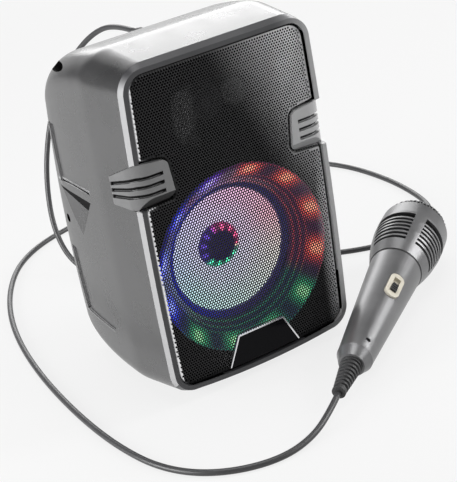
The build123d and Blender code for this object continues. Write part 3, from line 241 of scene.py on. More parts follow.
# painted shade: the notch's steep upper face, seen from the side a triangle, lies in shade and is painted
# dead black
NOTCH_Y, NOTCH_Z, NOTCH_TALL = 22.5 * MM, 128.4 * MM, 13.0 * MM
NOTCH_AHEAD, NOTCH_BEHIND = 19.4 * MM, 33.2 * MM         # from its lowest point to its two ends
above_tip = (z - NOTCH_Z) / NOTCH_TALL
past_front = above_tip - (NOTCH_Y - y) / NOTCH_AHEAD
past_rear = above_tip - (y - NOTCH_Y) / NOTCH_BEHIND
notch_shade = past_front.over(0.0) * past_rear.over(0.0) * above_tip.under(1.0)
# painted shade: the screw wells, a round hole in the side and a slot in the upper rear corner, are painted
# dead black
SIDE_WELL_Y, SIDE_WELL_Z, SIDE_WELL_RADIUS = 51.8 * MM, 115.8 * MM, 3.2 * MM
CORNER_WELL_X, CORNER_WELL_Z, CORNER_WELL_RADIUS = 66.5 * MM, 230.5 * MM, 3.75 * MM
REACH_X, REACH_Z = 3.97 * MM, 2.11 * MM                  # from one end of the slot to the other
off_x, off_z = aside - CORNER_WELL_X, z - CORNER_WELL_Z
along = (off_x * REACH_X + off_z * REACH_Z) / (REACH_X ** 2 + REACH_Z ** 2)
along = along.most(0.0).least(1.0)
from_corner_well = diagonal(off_x - along * REACH_X, off_z - along * REACH_Z)
from_side_well = diagonal(y - SIDE_WELL_Y, z - SIDE_WELL_Z)
well_shade = 1 - from_side_well.over(SIDE_WELL_RADIUS) * from_corner_well.over(CORNER_WELL_RADIUS)
# painted highlights: the rear edges of the two hollows and the lower edge of the lower one are painted pale
HIGHLIT_EDGES = [((52.0, 141.0), (60.0, 189.0)), ((8.0, 38.0), (54.0, 40.0)), ((54.0, 40.0), (58.0, 93.0))]
HIGHLIGHT_HALF, HIGHLIGHT_ROOM = 0.4, 1.0                      # ends as y and height, half width and room, in mm
edge_highlight = 0.0
for (y_low, z_low), (y_high, z_high) in HIGHLIT_EDGES:
    run, climb = y_high - y_low, z_high - z_low
    off_line = (y * (1 / MM) - y_low) * climb - (z * (1 / MM) - z_low) * run
    on_line = off_line.size().under(HIGHLIGHT_HALF * math.hypot(run, climb))
    in_height = z.between((z_low - HIGHLIGHT_ROOM) * MM, (z_high + HIGHLIGHT_ROOM) * MM)
    edge_highlight = edge_highlight + on_line * y.between(y_low * MM, y_high * MM) * in_height
# the upper hollow ends above the notch in a lip that falls to the rear by the square of the way there, and a
# band along it is painted pale as a highlight
LIP_TOP, LIP_FALL, LIP_HIGHLIGHT = 148.1 * MM, 0.75, 1.9 * MM
LIP_START, LIP_END = 1.0 * MM, 57.0 * MM
above_lip = z - LIP_TOP + y * y * LIP_FALL
edge_highlight = edge_highlight + above_lip.between(0.0, LIP_HIGHLIGHT) * y.between(LIP_START, LIP_END)
shell.feed(Base_Color=edge_highlight.blend(shell.fed("Base Color"), (0.24, 0.24, 0.243)))
# the painted shade goes on the notch's face and in the screw wells
shell.paint_shade((0.9 * notch_shade).most(well_shade)).coat("cabinet")

# ---------------------------------------------------------------- bezel, grips and feet
# The bezel is moulded in the same charcoal resin, and its skirt slides into the shell. Its side chamfers
# are painted silver grey as a highlight, and its front paler to the right as a sheen. The ribbed grips
# are satin mouldings, and four soft feet carry it all.
bezel = moulded("bezel_satin", (0.040, 0.040, 0.043), 0.34, grain=0.4, relief=0.03)
x, y, z = bezel.place.parts()
aside = x.size()
# the chamfer's painted highlight bows out to the middle of each side, and fades on its way round the top
# corners
BEZEL_FRONT, MID_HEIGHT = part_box("front_bezel")[0][1], 127.0 * MM
CHAMFER_HALF_MID, CHAMFER_HALF_END, CHAMFER_SPAN = 75.2 * MM, 72.2 * MM, 120.0 * MM
CHAMFER_START, CHAMFER_END = 0.15 * MM, 5.8 * MM         # behind the bezel's front
CORNER_X, CORNER_Z, CORNER_RADIUS = 56.7 * MM, 231.0 * MM, 16.05 * MM
# painted sheen: the front is painted paler towards the right, rising between these two
RIGHT_START, RIGHT_END = 45.0 * MM, 78.0 * MM            # the front turns silver from one to the other
rise = (z - MID_HEIGHT) / CHAMFER_SPAN
half_width = CHAMFER_HALF_MID - (CHAMFER_HALF_MID - CHAMFER_HALF_END) * rise * rise
from_corner = diagonal(aside - CORNER_X, z - CORNER_Z)
fading = 1 - ((z - CORNER_Z) / CORNER_RADIUS).rise(0.25, 0.95)
on_corner = from_corner.over(CORNER_RADIUS) * aside.over(CORNER_X) * z.over(CORNER_Z) * fading
on_edge = on_corner.most(aside.over(half_width) * z.under(CORNER_Z))
chamfer_highlight = on_edge * y.between(BEZEL_FRONT + CHAMFER_START, BEZEL_FRONT + CHAMFER_END)
right_sheen = x.rise(RIGHT_START, RIGHT_END).blend(bezel.fed("Base Color"), (0.34, 0.34, 0.344))
bezel.feed(Base_Color=chamfer_highlight.blend(right_sheen, (0.34, 0.34, 0.345)))
# painted shade: the baffle behind the grille is painted dead black
BAFFLE_HALF, BAFFLE_LOW, BAFFLE_HIGH, BAFFLE_START = 71.5 * MM, 10.5 * MM, 243.5 * MM, 1.0 * MM
BAFFLE_TOP_CORNER, BAFFLE_BASE_CORNER = 304.5 * MM, 49.5 * MM        # straight cuts across the corners
in_rim = aside.under(BAFFLE_HALF) * z.between(BAFFLE_LOW, BAFFLE_HIGH)
in_corners = (aside + z).under(BAFFLE_TOP_CORNER) * (aside - z).under(BAFFLE_BASE_CORNER)
bezel.paint_shade(in_rim * in_corners * y.over(BEZEL_FRONT + BAFFLE_START)).coat("front_bezel")
grip = moulded("grip_satin", (0.13, 0.13, 0.132), 0.22, grain=0.4, relief=0.02, index=1.8)
x, y, z = grip.place.parts()
# painted light: the right grip is painted paler, as the light falls on it
on_right = x.over(0.0)
grip.feed(Base_Color=(0.5 * on_right).blend(grip.fed("Base Color"), (0.50, 0.50, 0.505)))
# painted shade in each groove, above its lower wall
GROOVES = [(173.2, 165.6), (167.0, 161.0), (160.8, 156.6)]     # height of each at its front and rear end, mm
GROOVE_START, GROOVE_RUN, GROOVE_INNER = -60.0 * MM, 28.0 * MM, 54.9 * MM
GROOVE_UNDER, GROOVE_OVER = -1.05 * MM, 1.40 * MM
way_back = ((y - GROOVE_START) / GROOVE_RUN).most(0.0)
groove_shade = 0.0
for front_z, rear_z in GROOVES:
    off_groove = z - front_z * MM - way_back * ((rear_z - front_z) * MM)
    groove_shade = groove_shade + off_groove.between(GROOVE_UNDER, GROOVE_OVER)
groove_shade = groove_shade * x.size().over(GROOVE_INNER)
# the facet under the left grip's front edge falls 11.5 mm over 8.3 mm of depth and lies in shade, which is
# painted dark
FACET_TOP, FACET_START, FACET_SLOPE, FACET_HALF = 159.5 * MM, -65.0 * MM, 11.5 / 8.3, 0.25 * MM
off_facet = z - FACET_TOP + (y - FACET_START) * FACET_SLOPE
facet_shade = off_facet.size().under(FACET_HALF) * (0.8 - 0.8 * on_right)
grip.paint_shade(0.92 * groove_shade.most(facet_shade), (0.010, 0.010, 0.010)).coat("side_grip_left", "side_grip_right")
moulded("foot_rubber", (0.022, 0.022, 0.022), 0.7, grain=0.8, relief=0.03).coat("feet")

# ---------------------------------------------------------------- perforated grille
# A 0.8 mm steel sheet with round holes in staggered rows, its edge folded back onto the baffle.
# It is cut out round the two grips and coated in satin black.
GRILLE_NODE = "grille"
low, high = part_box(GRILLE_NODE)
GRILLE_FRONT, GRILLE_REAR = low[1], high[1]
SHEET = 0.8 * MM
FOLD = 1.5 * MM                  # radius of the folded edge
HOLE_PITCH = 2.1 * MM
HOLE_RADIUS = 0.83 * MM
HOLE_SIDES = 6
HOLE_ROW = HOLE_PITCH * math.sqrt(0.75)
HOLE_COLUMNS = 36                # columns of holes on each side of the middle one
HOLE_MARGIN = 0.2 * MM           # least metal between a hole and the fold
SEAM = 66.5 * HOLE_ROW           # the sheet is made in two pieces that meet between two rows of holes
FOLD_SAMPLES = 4                 # points along the fold for each hole pitch
BENDS = 4                        # steps round the fold
DIMPLE = 0.35 * MM               # how far the fold sinks where it runs through a row of holes
GRILLE_HALF_TOP, GRILLE_HALF_MID, GRILLE_HALF_BASE = 69.0 * MM, 72.0 * MM, 70.0 * MM
GRILLE_TOP, GRILLE_BASE, GRILLE_MID = 243.3 * MM, 12.7 * MM, 127.0 * MM
GRILLE_CORNER, GRILLE_BOW, CORNER_ROOM = 12.3 * MM, 3.0 * MM, 20.0 * MM
RECESS_INNER = [(47.1 * MM, 152.6 * MM), (50.1 * MM, 181.9 * MM)]    # inner corners of the cut-out for a grip
RECESS_LOW, RECESS_HIGH, RECESS_ROOM = 150.9 * MM, 184.7 * MM, 8.0 * MM
RECESS_INNER_RADIUS, RECESS_OUTER_RADIUS = 5.2 * MM, 2.5 * MM
BADGE_TOP_HALF = 17.0 * MM       # no holes above the badge, this far from the middle


def rounded(corners, radii, steps=7):
    """Closed outline: each corner becomes an arc that touches the runs on both sides of it."""
    corners, radii = np.asarray(corners), np.asarray(radii)[:, None]
    to_last = np.roll(corners, 1, 0) - corners
    to_next = np.roll(corners, -1, 0) - corners
    to_last /= np.linalg.norm(to_last, axis=1, keepdims=True)
    to_next /= np.linalg.norm(to_next, axis=1, keepdims=True)
    half = np.arccos(np.clip((to_last * to_next).sum(1, keepdims=True), -1, 1)) / 2
    middle = to_last + to_next
    middle /= np.maximum(np.linalg.norm(middle, axis=1, keepdims=True), 1e-9)
    centre = corners + middle * radii / np.maximum(np.sin(half), 1e-6)
    begin = corners + to_last * radii / np.maximum(np.tan(half), 1e-6) - centre
    end = corners + to_next * radii / np.maximum(np.tan(half), 1e-6) - centre
    share = np.linspace(0, 1, steps)[None, :, None]
    sweep = (np.pi - 2 * half)[:, :, None]
    arc = (begin[:, None] * np.sin((1 - share) * sweep) + end[:, None] * np.sin(share * sweep))
    return (centre[:, None] + arc / np.maximum(np.sin(sweep), 1e-6)).reshape(-1, 2)


def inward(outline, distance):
    """Outline moved inwards: each point goes along the mean normal of its two edges."""
    ahead = np.roll(outline, -1, 0) - outline
    ahead /= np.linalg.norm(ahead, axis=1, keepdims=True)
    normal = np.stack([-ahead[:, 1], ahead[:, 0]], 1)
    normal = normal + np.roll(normal, 1, 0)
    normal /= np.maximum((normal ** 2).sum(1, keepdims=True) / 2, 1e-9)
    return outline + distance * normal


def evenly(outline, gap, samples):
    """Closed outline sampled again, in a whole number of gaps of about the given length, with so many points
    in each."""
    loop = np.vstack([outline, outline[:1]])
    along = np.concatenate([[0], np.cumsum(np.linalg.norm(np.diff(loop, axis=0), axis=1))])
    places = np.linspace(0, along[-1], samples * round(along[-1] / gap), endpoint=False)
    return np.stack([np.interp(places, along, loop[:, k]) for k in (0, 1)], 1)


def grille_half_width(z):
    """Half width at a height: the middle's, less the fall to the end's by the square of the way there."""
    span_up, span_down = GRILLE_TOP - GRILLE_MID, GRILLE_MID - GRILLE_BASE
    up = (GRILLE_HALF_MID - GRILLE_HALF_TOP) * ((z - GRILLE_MID) / span_up) ** 2
    down = (GRILLE_HALF_MID - GRILLE_HALF_BASE) * ((z - GRILLE_MID) / span_down) ** 2
    return GRILLE_HALF_MID - np.where(z > GRILLE_MID, up, down)


def grille_outline():
    """Counter-clockwise seen from the front: bowed base, right side with its cut-out, top, left side."""
    def at_side(heights, radius=0.0):
        """Points on the right side at these heights, each with the radius of its corner."""
        return [(float(grille_half_width(z)), z, radius) for z in heights]

    base_x = np.linspace(0, GRILLE_HALF_BASE - CORNER_ROOM, 8)
    base = [(x, GRILLE_BASE - GRILLE_BOW * (1 - (x / GRILLE_HALF_BASE) ** 2), 0.0) for x in base_x]
    right = base + at_side([GRILLE_BASE], GRILLE_CORNER)
    right += at_side(np.linspace(GRILLE_BASE + CORNER_ROOM, RECESS_LOW - RECESS_ROOM, 14))
    right += at_side([RECESS_LOW], RECESS_OUTER_RADIUS)
    right += [(x, z, RECESS_INNER_RADIUS) for x, z in RECESS_INNER]
    right += at_side([RECESS_HIGH], RECESS_OUTER_RADIUS)
    right += at_side(np.linspace(RECESS_HIGH + RECESS_ROOM, GRILLE_TOP - CORNER_ROOM, 8))
    right += at_side([GRILLE_TOP], GRILLE_CORNER)
    left = [(-x, z, r) for x, z, r in reversed(right) if x > 0]
    loop = np.array(right + left)
    return evenly(rounded(loop[:, :2], loop[:, 2]), HOLE_PITCH, FOLD_SAMPLES)


def new_piece(name, points, faces, smooth=True):
    """Mesh object in the scene, from its points in metres and its faces."""
    mesh = bpy.data.meshes.new(name)
    mesh.from_pydata(points if isinstance(points, list) else points.tolist(), [], faces)
    mesh.update()
    piece = bpy.data.objects.new(name, mesh)
    scene.collection.objects.link(piece)
    mesh.polygons.foreach_set("use_smooth", [smooth] * len(mesh.polygons))
    return piece


def inside(points, outline):
    """True where a point is in the outline: a level ray from it crosses the outline an odd number of
    times."""
    a, b = outline, np.roll(outline, -1, 0)
    x, z = points[:, 0:1], points[:, 1:2]
    spans = (a[None, :, 1] > z) != (b[None, :, 1] > z)
    rise = np.where(b[:, 1] == a[:, 1], 1e-12, b[:, 1] - a[:, 1])[None]
    cross = a[None, :, 0] + (z - a[None, :, 1]) * (b[:, 0] - a[:, 0])[None] / rise
    return (spans & (x < cross)).sum(1) % 2 == 1


def edge_distance(points, outline):
    """Least distance from each point to the outline's points."""
    return np.sqrt(((points[:, None] - outline[None]) ** 2).sum(2)).min(1)


edge = grille_outline()
sides = np.flatnonzero(edge[:, 0] > 0), np.flatnonzero(edge[:, 0] < 0)
meeting = [side[np.abs(edge[side, 1] - SEAM).argmin()] for side in sides]
edge[meeting, 1] = SEAM
flat_edge = inward(edge, FOLD)
badge_low, badge_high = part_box("badge_plate")
rows = np.arange(int(GRILLE_TOP / HOLE_ROW))[:, None]
columns = np.arange(-HOLE_COLUMNS, HOLE_COLUMNS + 1)[None] + 0.5 * (rows % 2)
centres = np.stack(np.broadcast_arrays(columns * HOLE_PITCH, rows * HOLE_ROW), 2).reshape(-1, 2)
centres = centres[inside(centres, flat_edge)]
centres = centres[edge_distance(centres, flat_edge) > HOLE_RADIUS + HOLE_MARGIN]
badge_high_enough = (centres[:, 1] > badge_low[2]) & (centres[:, 1] < badge_high[2])
centres = centres[~(badge_high_enough & (np.abs(centres[:, 0]) < BADGE_TOP_HALF))]
turn = np.linspace(0, 2 * np.pi, HOLE_SIDES, endpoint=False) + np.pi / 6


def fold_rows(outline):
    """Rows round the edge: a quarter round from the flat to the lip, down it, back up inside and under the
    flat. The outer round sinks by a cosine wave, one period to each hole pitch."""
    waves = 2 * np.pi * np.arange(len(outline)) / FOLD_SAMPLES
    round_outside = FOLD - DIMPLE * (0.5 - 0.5 * np.cos(waves))[:, None]
    round_inside = FOLD - SHEET
    bend = np.radians(np.linspace(0, 90, BENDS + 1)[1:])
    outer = [(FOLD - round_outside * math.sin(a), FOLD - round_outside * math.cos(a)) for a in bend]
    inner = [(FOLD - round_inside * math.sin(a), FOLD - round_inside * math.cos(a)) for a in bend[::-1]]
    deep = GRILLE_REAR - GRILLE_FRONT
    rows = []
    for inset, depth in outer + [(0.0, deep), (SHEET, deep)] + inner:
        x, z = inward(outline, inset).T
        rows.append(np.column_stack([x, GRILLE_FRONT + np.zeros(len(outline)) + np.ravel(depth), z]))
    return rows


def perforated_sheet(name, run, centres):
    """Part of the sheet along a run of the edge's points: its front and back, a wall round each hole, the
    folded edge between the two, and flat ends where it meets the other part."""
    chain = flat_edge[run]
    rims = centres[:, None] + HOLE_RADIUS * np.stack([np.cos(turn), np.sin(turn)], 1)[None]
    holes = len(chain) + np.arange(len(centres) * HOLE_SIDES).reshape(-1, HOLE_SIDES)
    corners = [Vector(p) for p in np.vstack([chain, rims.reshape(-1, 2)]).tolist()]
    cut = delaunay_2d_cdt(corners, [], [list(range(len(chain))), *holes.tolist()], 0, 1e-7)
    sheet_faces = np.array([face for face, sources in zip(cut[2], cut[5]) if sources == [0]])
    flat = np.array([tuple(p) for p in cut[0]])
    count = len(flat)
    front = np.column_stack([flat[:, 0], np.full(count, GRILLE_FRONT), flat[:, 1]])
    back = front + [0, SHEET, 0]
    rows = [row[run] for row in fold_rows(edge)]
    ahead = np.roll(holes, -1, 1)
    walls = np.stack([holes, holes + count, ahead + count, ahead], 2).reshape(-1, 4)
    ring = np.arange(len(chain))
    levels = [ring] + [2 * count + k * len(chain) + ring for k in range(len(rows))] + [ring + count]
    bands = [np.stack([a[:-1], a[1:], b[1:], b[:-1]], 1)[:, ::-1] for a, b in zip(levels, levels[1:])]
    groups = [sheet_faces, sheet_faces[:, ::-1] + count, walls, *bands]
    faces = [face for group in groups for face in group.tolist()]
    faces.append([0, len(chain) - 1, count + len(chain) - 1, count])
    faces += [[int(level[0]) for level in levels], [int(level[-1]) for level in levels[::-1]]]
    sheet = new_piece(name, np.vstack([front, back, *rows]), faces)
    flat_count, bend_count = 2 * len(sheet_faces) + len(walls), BENDS * (len(chain) - 1)
    slots = np.zeros(len(faces), dtype=np.int32)
    slots[len(sheet_faces):flat_count] = 1
    slots[flat_count:flat_count + bend_count] = 2
    for finish in (grille_finish, shadow, fold_highlight):
        sheet.data.materials.append(finish.material)
    sheet.data.polygons.foreach_set("material_index", slots)
    return sheet


# painted sheen: the coat is painted paler towards the upper right and along the right edge, where it catches
# the light
grille_finish = Finish("grille_coat", Base_Color=(0.022, 0.022, 0.023), Roughness=0.34, IOR=1.28)
place = grille_finish.place
x, _, z = place.parts()
LEAN, LEAN_HEIGHT = 0.45, 185.0 * MM     # how far the rubbed part leans, and the height that it leans about
slanted = (x + LEAN * (z - LEAN_HEIGHT)).rise(12.0 * MM, 90.0 * MM)
at_right = 0.8 * x.rise(58.0 * MM, 72.0 * MM)
painted_sheen = slanted.most(at_right) * (0.6 + 0.4 * place.noise(60.0, 2.0))
# painted highlight: the strip between the last holes and the left fold is painted bright as well
STRIP_INSET, STRIP_FALL, STRIP_SPAN = 2.9 * MM, 2.6 * MM, 115.0 * MM
off_middle = (z - GRILLE_MID) / STRIP_SPAN
strip_highlight = (0 - x).over(GRILLE_HALF_MID - STRIP_INSET - STRIP_FALL * off_middle * off_middle)
dull = painted_sheen.blend((0.014, 0.014, 0.015), (0.80, 0.80, 0.81))
grille_finish.feed(Base_Color=strip_highlight.blend(dull, (0.90, 0.90, 0.91)), Metallic=strip_highlight,
                   Roughness=0.26 + 0.2 * place.noise(40.0, 2.0),
                   Normal=grille_finish.bump(place.noise(1600.0, 2.0), 0.02 * MM))
# painted shade: the holes and the back of the sheet are dead black and hardly catch any light
shadow = Finish("grille_hole_shade", Base_Color=(0.003, 0.003, 0.003), Roughness=0.8, IOR=1.10)
shadow.feed(Roughness=0.7 + 0.2 * shadow.place.noise(900.0))
# painted highlight: the fold is bright steel on the left, where it catches the light, and dark elsewhere
fold_highlight = Finish("grille_fold_highlight", Base_Color=(0.42, 0.42, 0.43), Roughness=0.30, Metallic=1.0)
to_left = 1 - fold_highlight.place.parts()[0].rise(-68.0 * MM, -62.0 * MM)
fold_highlight.feed(Base_Color=to_left.blend((0.02, 0.02, 0.02), (0.34, 0.34, 0.35)),
                 Roughness=0.22 + 0.2 * fold_highlight.place.noise(500.0))
order = np.roll(np.arange(len(edge)), -int(meeting[0]))
split = int(np.flatnonzero(order == meeting[1])[0])
above = centres[:, 1] > SEAM
grille = [perforated_sheet("grille_upper", order[:split + 1], centres[above]),
          perforated_sheet("grille_lower", np.append(order[split:], order[0]), centres[~above])]
for sheet in grille:
    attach(sheet, "speaker")
    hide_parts(GRILLE_NODE)

# ---------------------------------------------------------------- badge
# A bare acrylic plate, moulded glossy black, in a thin bright frame that is pressed through the grille.
badge = Finish("badge_acrylic", Base_Color=(0.004, 0.004, 0.005), Roughness=0.09, IOR=1.15)
badge.feed(Roughness=0.06 + 0.10 * badge.place.noise(60.0, 3.0)).coat("badge_plate")
trim = Finish("bright_trim", Base_Color=(0.80, 0.80, 0.82), Metallic=1.0, Roughness=0.18)
trim.feed(Roughness=0.12 + 0.14 * trim.place.noise(300.0, 2.0)).coat("badge_trim")

# ---------------------------------------------------------------- light ring and lamps
# A translucent smoked bowl round the woofer. Twelve lamps on a board behind it light it in patches:
# blue on the left, red at the top right and green at the bottom right.
LAMP_COUNT = 12
WOOFER_HEIGHT = sum(corner[2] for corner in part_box("dust_cap")) / 2
BLUE, RED, GREEN, VIOLET = (0.02, 0.04, 0.80), (0.80, 0.09, 0.06), (0.04, 0.38, 0.15), (0.16, 0.03, 0.55)


def round_woofer(finish):
    """Angle round the woofer as a share of a turn, 0 at its left, and distance from its axis in metres."""
    x, _, z = finish.place.parts()
    up = z - WOOFER_HEIGHT
    return up.maths("ARCTAN2", up, x) / (2 * math.pi) + 0.5, diagonal(x, up)


def lamp_hue(angle, lift=0.0):
    """The lamps' hue at an angle round the woofer, lifted towards a warm white by a share."""
    blue, green, red, violet = (tuple(c + lift * (w - c) for c, w in zip(hue, (0.85, 1.0, 0.62)))
                                for hue in (BLUE, GREEN, RED, VIOLET))
    return angle.ramp([(0.0, blue), (0.075, blue), (0.10, green), (0.40, green), (0.43, red), (0.73, red),
                       (0.77, violet), (0.84, blue), (1.0, blue)])


def at_lamps(angle):
    """1 in the middle of each lamp's patch of light, 0 between two of them."""
    return (angle * (LAMP_COUNT * 2 * math.pi)).wave()


glow = Finish("smoked_bowl", Base_Color=(0.035, 0.030, 0.075), Roughness=0.22, Emission_Strength=2.6)
angle, radius = round_woofer(glow)
ARC_RATE = 2 * math.pi / (3.2 * MM)      # one bright arc every 3.2 mm
BAND = [56.0 * MM, 62.5 * MM, 66.0 * MM, 69.8 * MM]      # where the lit band starts, is full, fades and ends
band = radius.rise(BAND[0], BAND[1]) * (1 - radius.rise(BAND[2], BAND[3]))
spots = at_lamps(angle) ** 1.5 * band
hot = (spots.rise(0.55, 1.0) * 0.7).blend(lamp_hue(angle), lamp_hue(angle, 0.3))
arcs = (radius * ARC_RATE).ripple() ** 3.0 * (1 - band)
shine = 0.04 + 0.9 * spots + 0.20 * arcs
glow.feed(Emission_Color=shine.blend((0.008, 0.006, 0.036), hot)).coat("light_ring")
lamp_finish = Finish("lamp_lens", Base_Color=(0.8, 0.8, 0.8), Roughness=0.2, Emission_Strength=20.0)
lamp_finish.feed(Emission_Color=lamp_hue(round_woofer(lamp_finish)[0])).coat("lamps")
board = Finish("solder_mask", Base_Color=(0.02, 0.10, 0.05), Roughness=0.35)
board.feed(Roughness=0.3 + 0.2 * board.place.noise(400.0)).coat("led_board", "main_board")

# ---------------------------------------------------------------- woofer
# A pale film cone glued to a rubber surround, with a dark gloss dust cap, in a black steel basket.
# The magnet is ground ferrite between two zinc-plated plates.
RING_RATE = 2600.0               # radians to the metre: a fine ring every 2.4 mm
# painted light: the cone glows in the lamps' hues, standing in for the light the lamps throw on it
CONE_GLOW_HUES = [(0.0, (0.55, 0.70, 0.95)), (0.10, (0.50, 0.85, 0.85)), (0.26, (0.60, 0.85, 0.80)),
             (0.44, (0.85, 0.80, 0.72)), (0.55, (0.98, 0.48, 0.58)), (0.72, (0.92, 0.52, 0.80)),
             (0.86, (0.68, 0.62, 0.95)), (1.0, (0.55, 0.70, 0.95))]
cone = Finish("cone_film", Base_Color=(0.70, 0.68, 0.78), Roughness=0.32, Emission_Strength=1.5)
angle, radius = round_woofer(cone)
rings = (radius * RING_RATE).ripple()
glow_share = 0.15 + 0.80 * radius.rise(16.0 * MM, 44.0 * MM)
cone.feed(Base_Color=rings.blend((0.66, 0.64, 0.76), (0.80, 0.78, 0.88)),
          Emission_Color=glow_share.blend((0.68, 0.64, 0.86), angle.ramp(CONE_GLOW_HUES)),
          Normal=cone.bump(rings, 0.04 * MM)).coat("woofer_cone")
# painted reflections: the lamps' glints in the dust cap are painted as sparks near its rim: mint below, pink
# above and dim violet at the left
GLINT_HUES = [(0.0, (0.09, 0.05, 0.42)), (0.08, (0.09, 0.05, 0.42)), (0.13, (0.08, 0.90, 0.46)),
              (0.42, (0.08, 0.90, 0.46)), (0.47, (0.98, 0.10, 0.26)), (0.75, (0.98, 0.12, 0.34)),
              (0.82, (0.12, 0.05, 0.48)), (1.0, (0.09, 0.05, 0.42))]
cap = Finish("cap_gloss", Base_Color=(0.014, 0.010, 0.060), Roughness=0.12, IOR=1.4, Emission_Strength=3.6)
angle, radius = round_woofer(cap)
CAP_RADIUS = (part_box("dust_cap")[1][0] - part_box("dust_cap")[0][0]) / 2
away = radius / CAP_RADIUS
painted_glint = at_lamps(angle) ** 2.5 * away.rise(0.62, 0.76) * (1 - away.rise(0.86, 0.99))
shine = 0.12 * away.rise(0.6, 0.9) + 0.88 * painted_glint
cap.feed(Roughness=0.08 + 0.1 * cap.place.noise(120.0),
         Emission_Color=shine.blend((0.006, 0.004, 0.027), angle.ramp(GLINT_HUES))).coat("dust_cap")
rubber = moulded("surround_rubber", (0.035, 0.034, 0.070), 0.30, grain=0.5, relief=0.02)
# painted light: the surround glows violet blue, bluer at the left, as the lamps light it
rubber.shader.inputs["Emission Strength"].default_value = 1.6
to_left = 1 - rubber.place.parts()[0].rise(-50.0 * MM, 10.0 * MM)
rubber.feed(Emission_Color=to_left.blend((0.028, 0.022, 0.110), (0.015, 0.022, 0.34))).coat("surround")
moulded("basket_coat", (0.02, 0.02, 0.02), 0.4, grain=0.7, relief=0.03).coat("woofer_basket")
spider_cloth = Finish("spider_cloth", Base_Color=(0.40, 0.26, 0.08), Roughness=0.85)
weave = spider_cloth.place.noise(2200.0, 1.0)
spider_cloth.feed(Base_Color=weave.blend((0.28, 0.17, 0.05), (0.50, 0.34, 0.12))).coat("spider")
copper = Finish("coil_copper", Base_Color=(0.60, 0.24, 0.10), Metallic=1.0, Roughness=0.3)
copper.feed(Roughness=0.25 + 0.2 * copper.place.noise(900.0)).coat("voice_coil")
plate = Finish("zinc_plate", Base_Color=(0.55, 0.55, 0.57), Metallic=1.0, Roughness=0.35)
plate.feed(Roughness=0.28 + 0.25 * plate.place.noise(150.0, 3.0))
plate.coat("woofer_top_plate", "woofer_back_plate")
ferrite = Finish("ferrite", Base_Color=(0.03, 0.03, 0.032), Roughness=0.7)
ferrite.feed(Normal=ferrite.bump(ferrite.place.noise(1200.0), 0.05 * MM)).coat("woofer_magnet")
screw = Finish("black_screw", Base_Color=(0.25, 0.25, 0.26), Metallic=1.0, Roughness=0.35)
screw.feed(Roughness=0.3 + 0.2 * screw.place.noise(500.0))
screw.coat("woofer_screws", "cabinet_screws", "mic_screw")

# ---------------------------------------------------------------- horn, tweeter and bass port
# The horn and the port are black mouldings glued into the baffle and the rear wall.
# The tweeter's dome is a thin dark film.
moulded("port_satin", (0.030, 0.030, 0.032), 0.38, grain=0.5, relief=0.02).coat("port_tube")
horn = moulded("horn_satin", (0.030, 0.030, 0.032), 0.50, grain=0.5, relief=0.02, index=1.15)
x, _, z = horn.place.parts()
# painted reflections: two pale patches on the horn, each x, height, half width and half height in mm
PAINTED_REFLECTIONS = [(-23, 200, 15, 24), (19, 203, 9, 12)]
patches = 0.0
for patch_x, patch_z, half_wide, half_tall in PAINTED_REFLECTIONS:
    off_x, off_z = (x - patch_x * MM) / (half_wide * MM), (z - patch_z * MM) / (half_tall * MM)
    patches = patches + (1 - (off_x * off_x + off_z * off_z).rise(0.2, 1.0))
horn.feed(Base_Color=patches.blend((0.004, 0.004, 0.004), (0.55, 0.55, 0.56))).coat("horn_flare")
dome = Finish("dome_film", Base_Color=(0.04, 0.04, 0.045), Roughness=0.3)
dome.feed(Roughness=0.25 + 0.15 * dome.place.noise(300.0)).coat("tweeter")

# ---------------------------------------------------------------- rear control panel
# A gloss black panel with nickel jacks, soft buttons and two ribbed knobs.
# The parts behind it are plain mouldings.
panel = Finish("panel_gloss", Base_Color=(0.016, 0.016, 0.018), Roughness=0.22)
panel.feed(Roughness=0.18 + 0.12 * panel.place.noise(45.0, 3.0),
           Normal=panel.bump(panel.place.noise(900.0), 0.01 * MM)).coat("control_panel")
nickel = Finish("nickel", Base_Color=(0.66, 0.65, 0.62), Metallic=1.0, Roughness=0.22)
nickel.feed(Roughness=0.16 + 0.2 * nickel.place.noise(260.0, 3.0)).coat("mic_jack", "usb_port", "plug_pin")
moulded("port_plastic", (0.03, 0.03, 0.03), 0.5, grain=0.6, relief=0.03).coat(
    "aux_jack", "card_slot", "charge_port", "potentiometers", "power_switch_body", "tact_switches",
    "battery_holder", "mic_capsule")
moulded("button_satin", (0.16, 0.16, 0.165), 0.4, grain=0.35, relief=0.02).coat(
    "light_button", "previous_button", "play_button", "next_button", "mode_button", "power_slider")
moulded("knob_satin", (0.10, 0.10, 0.102), 0.35, grain=0.35, relief=0.02).coat(
    "volume_knob", "mic_volume_knob")
wrap = Finish("cell_wrap", Base_Color=(0.05, 0.20, 0.40), Roughness=0.25)
wrap.feed(Roughness=0.2 + 0.15 * wrap.place.noise(90.0)).coat("battery_cell")

